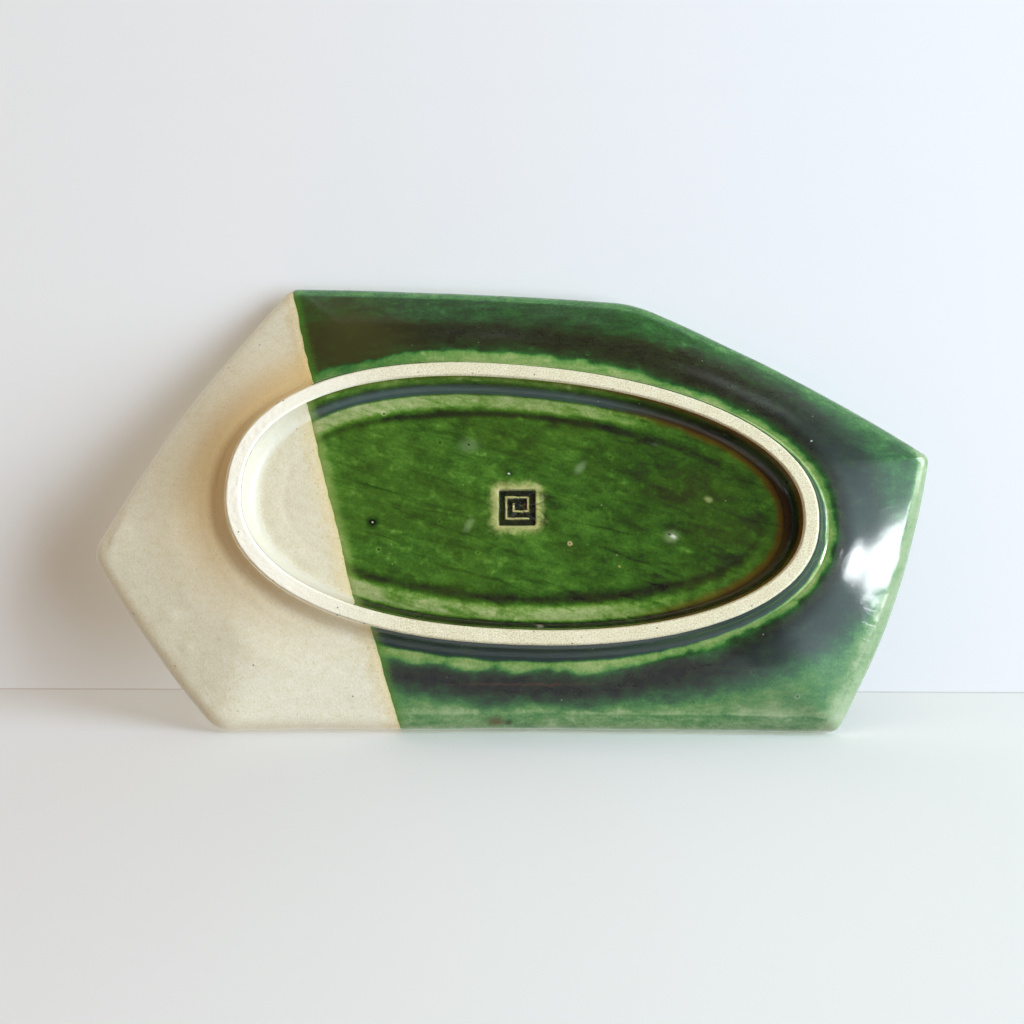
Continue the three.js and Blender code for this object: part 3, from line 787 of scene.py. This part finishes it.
def build_foot(clay):
    """The luted foot ring, with a bare, slightly rough rim that it stands on."""
    turns = np.arange(FOOT_SPOKES) * 2 * math.pi / FOOT_SPOKES
    even = foot_directions_for(FOOT_CENTRE + 10 * np.stack((np.cos(turns), np.sin(turns)), 1))
    half, radius = FOOT_RIM_WIDTH / 2, FOOT_ROUNDING

    def rounding(side, angles):
        return [(side * (half - radius * (1 - math.cos(a))), 0, radius * (1 - math.sin(a))) for a in angles]

    up = bezier([(FOOT_WALL_START, radius), *FOOT_WALL], 10)
    profile = [(half, -flare, height) for flare, height in up[::-1]]
    profile += rounding(1, np.linspace(0.2, 1.4, 5))
    profile += [(inset, 0, 0.0) for inset in np.linspace(half - radius, radius - half, 15)]
    profile += rounding(-1, np.linspace(1.4, 0.2, 5))
    profile += [(-half, flare, height) for flare, height in up]
    places = stack([(foot_point(even, inset, flare), height) for inset, flare, height in profile])
    bare = smooth(1.3, 0.5, places[..., 2])
    grain = 0.05 * field(places, 1.1, 71) + 0.03 * field(places, 0.55, 72) + 0.06 * field(places, 9, 73)
    places[..., 2] += bare * (grain + 0.02).clip(0, 0.2)
    faces = grid_faces(len(places), FOOT_SPOKES, closed=True)
    settle(make_mesh("foot", places.reshape(-1, 3), faces, {}, clay), "foot_ring")


# Materials
def colour(code):
    """A display colour such as "3f6e2c" as linear values."""
    values = [int(code[at:at + 2], 16) / 255 for at in (0, 2, 4)]
    return tuple(v / 12.92 if v <= 0.04045 else ((v + 0.055) / 1.055) ** 2.4 for v in values) + (1.0,)


def stops(places, codes):
    return [(at, colour(code)) for at, code in zip(places, codes)]


class Shader:
    """The nodes of a material or the world, written as expressions of sockets, numbers and colours."""

    def __init__(self, name, tree=None, output="ShaderNodeOutputMaterial"):
        if tree is None:
            self.material = bpy.data.materials.new(name)
            self.material.use_nodes = True
            tree = self.material.node_tree
        self.tree = tree
        self.tree.nodes.clear()
        self.output = self.tree.nodes.new(output)

    def node(self, kind, inputs=(), **settings):
        node = self.tree.nodes.new("ShaderNode" + kind)
        for key, value in settings.items():
            setattr(node, key, value)
        for key, value in dict(inputs).items():
            self.join(value, node.inputs[key])
        return node

    def join(self, value, socket):
        if isinstance(value, bpy.types.NodeSocket):
            self.tree.links.new(value, socket)
        else:
            socket.default_value = value

    def finish(self, shader):
        self.tree.links.new(shader.outputs[0], self.output.inputs[0])
        return self.material

    def math(self, operation, first, second=0.0, clamp=False):
        return self.node("Math", {0: first, 1: second}, operation=operation, use_clamp=clamp).outputs[0]

    def vector(self, operation, inputs, output=0):
        return self.node("VectorMath", inputs, operation=operation).outputs[output]

    def add(self, *values):
        total = values[0]
        for value in values[1:]:
            total = self.math("ADD", total, value)
        return total

    def times(self, *values):
        total = values[0]
        for value in values[1:]:
            total = self.math("MULTIPLY", total, value)
        return total

    def step(self, low, high, value):
        """Smooth step from 0 at low to 1 at high."""
        flip = low > high
        first, second = (high, low) if flip else (low, high)
        inputs = {"Value": value, "From Min": first, "From Max": second}
        inputs |= {"To Min": float(flip), "To Max": float(not flip)}
        return self.node("MapRange", inputs, interpolation_type="SMOOTHSTEP").outputs["Result"]

    def scaled(self, value, low, high):
        inputs = {"Value": value, "To Min": low, "To Max": high}
        return self.node("MapRange", inputs, clamp=True).outputs["Result"]

    def wave(self, value, reach):
        """A value from 0 to 1 as one between -reach and reach."""
        return self.scaled(value, -reach, reach)

    def mix(self, share, first, second):
        node = self.node("Mix", data_type="RGBA")
        for value, socket in ((share, 0), (first, 6), (second, 7)):
            self.join(value, node.inputs[socket])
        return node.outputs[2]

    def tint(self, shade, code, *masks):
        """The shade mixed towards a colour, as far as the product of the masks says."""
        return self.mix(self.times(*masks), shade, colour(code))

    def ramp(self, value, colours):
        node = self.node("ValToRGB", {0: value})
        elements = node.color_ramp.elements
        while len(elements) < len(colours):
            elements.new(0.5)
        for element, (place, shade) in zip(elements, colours):
            element.position = place
            element.color = shade
        return node.outputs[0]

    def place(self):
        """Place on the object, in mm."""
        where = self.node("TexCoord").outputs["Object"]
        return self.vector("SCALE", {0: where, "Scale": 1000.0})

    def across(self, vector):
        return self.node("SeparateXYZ", {0: vector}).outputs

    def stretched(self, vector, lengths, turn=0.0, shift=(0, 0, 0)):
        """The vector turned and then divided by those lengths, so that a pattern of it is as much longer."""
        inputs = {"Vector": vector, "Scale": lengths, "Rotation": (0, 0, turn), "Location": shift}
        return self.node("Mapping", inputs, vector_type="TEXTURE").outputs[0]

    def attribute(self, name):
        return self.node("Attribute", attribute_name=name).outputs["Fac"]

    def noise(self, vector, size, detail=2.0, rough=0.5, warp=0.0):
        inputs = {"Vector": vector, "Scale": 1.0 / size, "Detail": detail, "Roughness": rough}
        return self.node("TexNoise", inputs | {"Distortion": warp}).outputs[0]

    def specks(self, vector, size, radius, share):
        """Small round marks in a share of the cells of that size."""
        node = self.node("TexVoronoi", {"Vector": vector, "Scale": 1.0 / size})
        chance = self.node("SeparateColor", {0: node.outputs["Color"]}).outputs[0]
        chosen = self.math("LESS_THAN", chance, share)
        distance = self.math("MULTIPLY", node.outputs["Distance"], size)
        return self.times(self.step(radius, radius * 0.4, distance), chosen)

    def crackle(self, vector, size, width):
        node = self.node("TexVoronoi", {"Vector": vector, "Scale": 1.0 / size}, feature="DISTANCE_TO_EDGE")
        return self.step(width / size, 0.0, node.outputs["Distance"])

    def shaken(self, vector, size, reach):
        """The vector flattened onto the plan and displaced by noise of that size."""
        noise = self.node("TexNoise", {"Vector": vector, "Scale": 1.0 / size}).outputs[1]
        offset = self.vector("SUBTRACT", {0: noise, 1: (0.5, 0.5, 0.5)})
        moved = self.vector("MULTIPLY_ADD", {0: offset, 1: (reach, reach, 0), 2: vector})
        return self.vector("MULTIPLY", {0: moved, 1: (1, 1, 0)})

    def spot(self, flat, x, y, length, width, turn):
        """A soft oval mark with those half axes, turned by that many degrees."""
        place = self.stretched(flat, (length, width, 1), math.radians(turn), (x, y, 0))
        return self.step(1.0, 0.1, self.vector("LENGTH", {0: place}, "Value"))

    def surface(self, shade, roughness, height, distance, index):
        """A dielectric surface with that relief, whose height is in units of distance, in mm."""
        bump = self.node("Bump", {"Height": height, "Distance": distance * MM, "Strength": 1.0}).outputs[0]
        inputs = {"Base Color": shade, "Roughness": roughness, "Normal": bump, "IOR": index}
        return self.finish(self.node("BsdfPrincipled", inputs))


GREEN_PLACES = (0, 0.12, 0.25, 0.37, 0.49, 0.61, 0.74, 0.87, 1)
IN_FOOT_GREENS = ("d2cfa4", "bcc08e", "9cae70", "78984a", "527d2a", "3e6420", "2f4b17", "292f1a", "1d1c15")
OUTER_GREENS = ("d2cfa4", "b4bd88", "94ab6a", "6f974f", "4a823e", "346330", "294725", "272e1e", "1d1c18")
CREAM_PLACES = (0.0, 0.35, 0.65, 1.0)
IN_FOOT_CREAMS = ("c2b694", "d7cfb3", "e1dcc6", "ebe7d8")
OUTER_CREAMS = ("cdc29b", "e8e3c6", "f3f1e0", "f9faf2")
CLAYS = ("a49468", "d4cdab", "e9e5cb", "fbfaf0")

# Single marks in the green glaze, in mm: x, y, half length, half width, turn in degrees, share, colour
IN_FOOT_MARKS = (
    # Pit with a pale grain in it
    (41.5, -10.6, 3.6, 3.2, 0, 0.9, "1c300c"), (41.5, -10.6, 1.7, 1.6, 0, 1, "0d1208"),
    (41.5, -10.6, 0.42, 0.4, 0, 1, "dfe4cc"),
    # Rusty grain and its neighbour
    (-15.2, -16.9, 1.05, 0.95, 0, 1, "d3c58c"), (-15.2, -16.9, 0.5, 0.45, 0, 1, "2b2413"),
    (-29, -23.6, 0.7, 0.5, 20, 0.9, "a99a54"),
    # Chipped blister
    (-44.2, -14.8, 3.4, 2.8, 0, 0.6, "8aa46a"), (-44.6, -14.8, 1.5, 0.8, 30, 0.9, "d9dccf"),
    (-43.7, -14.1, 0.9, 0.5, 30, 1, "34352c"),
    # Pale clouds and scuffs
    (13.8, -11.3, 3.4, 1.7, -60, 0.33, "9ab07c"), (-18.4, 5.9, 3.4, 1.9, -50, 0.33, "9cb384"),
    (-55.3, -3.8, 2.0, 1.4, 20, 0.5, "b4bd7c"), (14.1, 12.7, 4.4, 3.4, 0, 0.28, "8fa878"),
    # Pinholes and grit
    (14.1, 12.9, 0.6, 0.5, 0, 1, "10180c"), (2.3, 4.1, 2.0, 1.6, 0, 0.5, "1f3a12"),
    (2.3, 4.1, 0.45, 0.4, 0, 1, "eef2ea"), (-40.5, 13.0, 1.6, 1.0, 0, 0.6, "4a5548"),
    # Slanting scratch
    (41, 0, 13.5, 0.6, 17, 0.8, "1c3a10"),
    (22.5, 13.5, 0.7, 0.6, 0, 0.9, "1a2410"), (-31.5, -24.8, 0.6, 0.5, 0, 0.9, "20300f"),
    (46, 8.5, 9, 0.3, 28, 0.5, "1f3d13"),
    # Grain stuck by the foot's rim
    (-6.2, -41.0, 1.6, 0.9, 0, 1, "8a8474"), (-5.4, -41.0, 0.6, 0.5, 0, 1, "2a2418"),
)
OUTER_MARKS = (
    # Iron stain at the bottom edge
    (6.0, -66.2, 4.2, 1.8, 0, 0.8, "5b4428"), (2.4, -66.4, 1.6, 0.9, 0, 0.8, "33281c"),
    # Reddish line in the lower pool
    (-2, -56.6, 28, 0.5, 0, 0.35, "6b3a2c"),
    # Pinholes
    (-78.6, -59.7, 1.3, 1.0, 0, 0.6, "8fb089"), (-78.6, -59.7, 0.5, 0.45, 0, 0.9, "1d2a18"),
    (-86.5, 14.6, 0.5, 0.4, 0, 0.8, "dfe8e0"),
)


def green_glaze(inside):
    """Copper green: pale where it is thin, bottle green where it is even, almost black where it pooled."""
    s = Shader("green_glaze_in_foot" if inside else "green_glaze_outside")
    place = s.place()
    slant = 0.3 if inside else 0.0
    strength = 1.0 if inside else 0.75
    cloud = s.noise(place, 14.0, 2.0, 0.5)
    blotch = s.noise(s.stretched(place, (1.5, 1, 1), slant), 4.2, 4.0, 0.6, 0.4)
    streak = s.noise(s.stretched(place, (2.8, 1, 1), slant), 2.2, 3.0, 0.6, 0.5)
    swirl = s.noise(s.stretched(place, (5, 1, 1), slant), 3.0, 3.0, 0.55, 0.8)
    fine = s.noise(place, 0.8, 3.0, 0.65)
    grain = s.noise(s.stretched(place, (0.6, 1.25, 1)), 0.34, 2.0, 0.6)
    flecks = s.step(0.5, 0.8, s.noise(place, 2.9, 1.0, 0.5))
    flecks = s.times(flecks, s.step(0.38, 0.6, s.noise(place, 13.0, 1.0)))
    holes = s.specks(place, 5.5, 0.4, 0.22)
    rings = s.specks(place, 5.5, 1.4, 0.22)
    depth = s.add(
        s.attribute("pool"),
        s.wave(cloud, 0.13 * strength),
        s.wave(blotch, 0.22 * strength),
        s.wave(streak, 0.16 * strength),
        s.wave(fine, 0.14),
        s.wave(grain, 0.09),
        s.times(s.step(0.5, 0.72, swirl), 0.13 if inside else 0.05),
        s.times(flecks, -0.15 if inside else -0.1),
        s.times(rings, -0.1),
        s.times(holes, 0.6),
    )
    lines = s.crackle(s.stretched(place, (1.25, 1, 1), 0.3), 3.6, 0.1)
    lines = s.times(lines, s.step(0.4, 0.6, s.noise(place, 11.0, 1.0)))
    shade = s.ramp(depth, stops(GREEN_PLACES, IN_FOOT_GREENS if inside else OUTER_GREENS))
    shade = s.tint(shade, "1c3a14", lines, 0.22)
    iron_and_warm_shade = s.attribute("iron_and_warm_shade")
    if not inside:
        shade = s.tint(shade, "4b4b22", iron_and_warm_shade, 0.6)
        # Painted sheen: mint tint on thin glaze near the rim.
        shade = s.tint(shade, "a6c6a0", s.step(9.0, 2.5, s.attribute("rim")), s.step(0.5, 0.15, depth), 0.5)
    # Painted sheen: grey-blue reflection mixed into the green where the mesh asks for it.
    shade = s.tint(shade, "5a716f", s.attribute("painted_sheen_and_shade"), 0.5 if inside else 0.3)
    beside_dip = s.step(-3.2, 0.4, s.add(s.attribute("dip"), s.wave(fine, 1.6)))
    shade = s.tint(shade, "86a052" if inside else "5f8f30", beside_dip, 0.7)
    shade = s.tint(shade, "17210e", s.specks(place, 2.0, 0.2, 0.3), 0.55)
    shifted = s.stretched(place, (1, 1, 1), 0, (3.1, 7.7, 0))
    shade = s.tint(shade, "a9b784", s.specks(shifted, 4.0, 0.3, 0.25), 0.5)
    if inside:
        olive = s.step(0.42, 0.68, s.noise(s.stretched(place, (1.7, 1, 1), slant), 17.0, 2.0))
        shade = s.tint(shade, "4a5f1a", olive, 0.2)
        shade = s.tint(shade, "6a4415", s.math("MULTIPLY", iron_and_warm_shade, 0.92, True))
        rubbed = s.step(0.25, 0.6, s.noise(place, 0.55, 3.0, 0.7))
        shade = s.tint(shade, "c6b680", s.attribute("stroke"), rubbed)
    shaken = s.shaken(place, 1.3, 0.9) if inside else s.shaken(place, 2.2, 1.6)
    for x, y, length, width, turn, share, code in IN_FOOT_MARKS if inside else OUTER_MARKS:
        shade = s.tint(shade, code, s.spot(shaken, x, y, length, width, turn), share)
    swell = s.times(s.noise(place, 3.4, 2.0, 0.5), 0.8 if inside else 0.35)
    ripple = s.add(swell, s.times(fine, 0.22), s.times(grain, 0.08))
    ripple = s.add(ripple, s.times(holes, -0.8), s.times(lines, -0.08))
    roughness = s.scaled(s.noise(place, 8.0, 2.0), 0.09, 0.15)
    return s.surface(shade, roughness, ripple, 0.08, 1.5)


def clear_glaze(inside):
    """Cream, nearly clear glaze over a pale body with fine iron specks, stained warm beside the green."""
    s = Shader("clear_glaze_in_foot" if inside else "clear_glaze_outside")
    place = s.place()
    dip = s.attribute("dip")
    cloud = s.noise(place, 13.0, 3.0, 0.55)
    mottle = s.noise(place, 2.2, 3.0, 0.65)
    grain = s.noise(s.stretched(place, (0.7, 1.25, 1)), 0.6, 3.0, 0.75)
    tone = s.add(0.5, s.wave(cloud, 0.12), s.wave(mottle, 0.2), s.wave(grain, 0.6))
    shade = s.ramp(tone, stops(CREAM_PLACES, IN_FOOT_CREAMS if inside else OUTER_CREAMS))
    wander = s.add(dip, s.wave(mottle, 3.0), s.wave(grain, 1.6))
    shade = s.tint(shade, "e0ca92", s.step(6.0, 0.5, wander), 0.5)
    shade = s.tint(shade, "c6bd76", s.step(1.4, 0.0, s.add(dip, s.wave(grain, 0.9))), 0.5)
    if inside:
        # Painted shade: the inner foot wall greyed.
        shade = s.tint(shade, "cbc8bb", s.attribute("painted_sheen_and_shade"), 0.55)
    else:
        shade = s.tint(shade, "dcc79a", s.step(3.6, 0.8, s.attribute("rim")), s.attribute("under"), 0.12)
        # Painted warm shade by the foot, partly amber glaze pooled there.
        shade = s.tint(shade, "dab265", s.math("MULTIPLY", s.attribute("iron_and_warm_shade"), 0.58, True))
    dots = s.specks(place, 4.6, 0.36, 0.25)
    shade = s.tint(shade, "8a6a42", s.specks(place, 1.5, 0.24, 0.28), 0.3)
    shade = s.tint(shade, "a67a35", s.specks(place, 0.9, 0.3, 0.3), s.step(7.0, 1.0, dip), 0.5)
    shade = s.tint(shade, "5e4630", dots, 0.7)
    height = s.add(s.noise(place, 4.5, 2.0, 0.5), s.times(mottle, 0.4))
    height = s.add(height, s.times(grain, 0.35), s.times(dots, -0.3))
    return s.surface(shade, s.scaled(mottle, 0.28, 0.42), height, 0.14, 1.48)


def bare_clay():
    """Unglazed stoneware: pale and grainy, with fine dark grit, and whiter on the clear-glazed side."""
    s = Shader("bare_clay")
    place = s.place()
    grain = s.noise(place, 0.42, 3.0, 0.7)
    tone = s.add(0.52, s.wave(grain, 0.95), s.wave(s.noise(place, 6.0, 2.0, 0.5), 0.12))
    shade = s.ramp(tone, stops(CREAM_PLACES, CLAYS))
    clear = s.step(25, 70, s.across(place)[0])
    shade = s.tint(shade, "fffbef", clear, 0.75)
    grit = s.specks(place, 0.8, 0.2, 0.25)
    shade = s.tint(shade, "9c8458", grit, s.scaled(clear, 0.5, 0.15))
    shade = s.tint(shade, "4a3a28", s.specks(place, 2.6, 0.34, 0.3), 0.75)
    height = s.add(grain, s.times(s.noise(place, 0.22, 1.0), 0.5), s.times(grit, -0.6))
    return s.surface(shade, 0.88, height, 0.05, 1.45)


def build_plate():
    clay = bare_clay()
    build_slab(clay)
    build_foot(clay)
    build_outer(green_glaze(False), clear_glaze(False))
    build_in_foot(green_glaze(True), clear_glaze(True))


# Stage: axes of the photographed room, in the row frame
RIGHT = Vector((-1, 0, 0))
UP = Vector((0, 0.9397, -0.342))
TOWARDS = Vector((0, -0.342, -0.9397))
WALL_OFFSET = 44.0  # of the wall's plane, in mm along -TOWARDS
TABLE_OFFSET = -71.5  # of the table's plane, in mm along UP
ROOM_TILT = 0.004  # fall of the table's line to the right
ROOM_SIZE = (2400, 1200)
SEAM_WIDTH = 0.5
SEAM_LIFT = 0.2  # of the seam off the wall and the table
FLOOR_SIZE = (6000, 6000)
FLOOR_HEIGHT = -0.05
FLOOR_LAYERS = 2
BACKDROP = "f2f0ed"


def stage_material(name, shade, painted_shadow_side, below_floor):
    """Matt, and shown to camera rays alone, from its front. The room's parts are painted darker and warmer
    towards +X.

    The stage has two sides. From above it is the floor, which fades into the backdrop. From below it is the
    room, whose upper parts are seen through the floor's back and its clear layers.
    """
    s = Shader(name)
    light = s.node("LightPath")
    front = s.math("SUBTRACT", 1.0, s.node("NewGeometry").outputs["Backfacing"])
    seen = s.times(light.outputs["Is Camera Ray"], front)
    place = s.place()
    parts = s.across(place)
    if below_floor:
        through = s.math("GREATER_THAN", light.outputs["Transparent Depth"], FLOOR_LAYERS + 0.5)
        under = s.math("LESS_THAN", parts[2], FLOOR_HEIGHT)
        seen = s.times(seen, s.math("MAXIMUM", through, under))
    # Painted shade: towards +X the colour turns to the second one, darker and warmer on the wall, table and
    # seam, round the plate's shadow; the floor keeps one colour.
    shade = s.mix(s.step(-80, 130, parts[0]), colour(shade), colour(painted_shadow_side))
    matt = s.node("BsdfDiffuse", {"Color": shade}).outputs[0]
    if not below_floor:
        far = s.step(150, 1100, s.vector("LENGTH", {0: place}, "Value"))
        glow = s.node("Emission", {"Color": colour(BACKDROP)}).outputs[0]
        matt = s.node("MixShader", {0: far, 1: matt, 2: glow}).outputs[0]
    return s.finish(s.node("MixShader", {0: seen, 1: s.node("BsdfTransparent").outputs[0], 2: matt}))


def panel(name, centre, across, upwards, size, material):
    """A flat rectangle whose front faces across x upwards. Sizes in mm."""
    mesh = bpy.data.meshes.new(name)
    a, b = Vector(across) * size[0] / 2, Vector(upwards) * size[1] / 2
    corners = [Vector(centre) + x * a + y * b for x, y in ((-1, -1), (1, -1), (1, 1), (-1, 1))]
    mesh.from_pydata([corner * MM for corner in corners], [], [(0, 1, 2, 3)])
    mesh.materials.append(material)
    made = bpy.data.objects.new(name, mesh)
    bpy.context.scene.collection.objects.link(made)


def build_room():
    seam = -TOWARDS * WALL_OFFSET + UP * TABLE_OFFSET
    right = (RIGHT - UP * ROOM_TILT).normalized()
    reach = ROOM_SIZE[1] / 2
    # Each second colour is painted shade on the +X side, where the plate's shadow falls.
    wall = stage_material("room_wall", "ebeef3", "ebebec", True)
    panel("room_wall", seam + UP * reach, right, UP, ROOM_SIZE, wall)
    table = stage_material("room_table", "f4fbff", "e6e7ea", True)
    panel("room_table", seam + TOWARDS * reach, right, -TOWARDS, ROOM_SIZE, table)
    # A darker strip along the line where the wall meets the table: painted shade of that corner.
    gap = stage_material("room_corner_shade", "d0d2d6", "d6cfca", True)
    lifted = seam + UP * SEAM_LIFT + TOWARDS * SEAM_LIFT
    panel("room_corner_shade", lifted, right, UP, (ROOM_SIZE[0], SEAM_WIDTH), gap)


def build_floor():
    def level(name, height, material):
        panel(name, (0, 0, height), (1, 0, 0), (0, 1, 0), FLOOR_SIZE, material)

    level("studio_floor", FLOOR_HEIGHT, stage_material("studio_floor", "ebedef", "ebedef", False))
    glass = Shader("floor_layer")
    clear = glass.finish(glass.node("BsdfTransparent"))
    for layer in range(FLOOR_LAYERS):
        level(f"floor_layer_{layer}", -0.5 - 0.5 * layer, clear)


def room_direction(turn, lift):
    """A direction in the room: turn degrees from the wall's normal to the right, lift degrees up."""
    turn, lift = math.radians(turn), math.radians(lift)
    level = RIGHT * math.sin(turn) * math.cos(lift) + TOWARDS * math.cos(turn) * math.cos(lift)
    return level + UP * math.sin(lift)


LAMP_DISTANCE = 2400
ROOM_LAMPS = (
    # Name, turn and lift in degrees, size in mm, power, colour, and if it is for reflections alone
    ("window_pane", 67, 7, (480, 360), 22.0, (0.92, 0.97, 1.0), True),
    ("curtain", 88, 22, (600, 1100), 22.0, (0.86, 1.0, 0.96), True),
    ("window", 65, 22, (1560, 1020), 52.0, (0.79, 0.93, 1.06), False),
    ("table_bounce", 56, -6, (1300, 1300), 40.0, (0.79, 0.93, 1.06), False),
)


def area_lamp(name, place, aim, size, energy, shade, mirrored):
    data = bpy.data.lights.new(name, "AREA")
    data.shape = "RECTANGLE"
    data.size, data.size_y = size[0] * MM, size[1] * MM
    data.energy = energy
    data.color = shade
    lamp = bpy.data.objects.new(name, data)
    bpy.context.scene.collection.objects.link(lamp)
    back = (Vector(place) - Vector(aim)).normalized()
    up = UP if abs(back.dot(UP)) < 0.9 else TOWARDS
    across = up.cross(back).normalized()
    lamp.matrix_world = turned_to(across, back.cross(across), back, Vector(place))
    lamp.visible_diffuse, lamp.visible_glossy = not mirrored, mirrored


def turned_to(right, up, back, place):
    turned = Matrix((right, up, back)).transposed().to_4x4()
    turned.translation = place * MM
    return turned


def build_lights():
    for name, turn, lift, size, energy, shade, mirrored in ROOM_LAMPS:
        place = room_direction(turn, lift) * LAMP_DISTANCE
        area_lamp(name, place, (0, 0, 10), size, energy, shade, mirrored)
    area_lamp("overhead", (-400, -700, 1700), (0, 0, 0), (1500, 1500), 24.0, (1.0, 0.98, 0.96), False)


def build_world():
    """Soft light round the plate.

    Matt surfaces get warm light, more of it from above. Glossy ones show the pale wall and table, the dim
    room, and the glow round the window.
    """
    world = bpy.data.worlds.new("studio")
    bpy.context.scene.world = world
    world.use_nodes = True
    s = Shader("studio", world.node_tree, "ShaderNodeOutputWorld")
    heading = s.node("TexCoord").outputs["Generated"]

    def along(direction):
        return s.vector("DOT_PRODUCT", {0: heading, 1: tuple(direction)}, "Value")

    up, right, towards = along(UP), along(RIGHT), along(TOWARDS)
    glow = s.step(math.cos(math.radians(37)), 1.0, along(room_direction(56, 15)))
    room = s.mix(s.step(0.2, 0.9, right), colour("3a3f44"), colour("878f95"))
    room = s.tint(room, "4a4138", s.step(0.45, 0.95, up))
    room = s.mix(glow, room, (1.05, 1.25, 1.35, 1.0))
    room = s.tint(room, "cdd5dd", s.step(0.02, -0.12, up))
    room = s.tint(room, "dfe6ef", s.step(0.05, -0.2, towards))
    soft = s.mix(s.step(0.45, 0.9, up), (0.37, 0.285, 0.205, 1.0), (0.84, 0.76, 0.64, 1.0))
    soft = s.mix(s.step(0.0, -0.5, towards), soft, (0.60, 0.55, 0.50, 1.0))
    path = s.node("LightPath").outputs
    seen = s.tint(s.mix(path["Is Diffuse Ray"], room, soft), BACKDROP, path["Is Camera Ray"])
    s.tree.links.new(s.node("Background", {"Color": seen}).outputs[0], s.output.inputs[0])


# Camera: where the photo was taken from, in mm
CAMERA_PLACE = Vector((1.45, -92.9, -302.2))
CAMERA_RIGHT = Vector((-1, 0, 0))
CAMERA_UP = Vector((0, 0.9636, -0.2672))
CAMERA_FORWARD = Vector((0, 0.2672, 0.9636))
CAMERA_LENS = 38.99


def build_camera():
    data = bpy.data.cameras.new("camera")
    data.sensor_width = 36
    data.lens = CAMERA_LENS
    data.clip_start, data.clip_end = 0.005, 50
    camera = bpy.data.objects.new("camera", data)
    bpy.context.scene.collection.objects.link(camera)
    camera.matrix_world = turned_to(CAMERA_RIGHT, CAMERA_UP, -CAMERA_FORWARD, CAMERA_PLACE)
    bpy.context.scene.camera = camera


bpy.context.scene.view_settings.view_transform = "Standard"
build_camera()
build_plate()
build_room()
build_floor()
build_lights()
build_world()
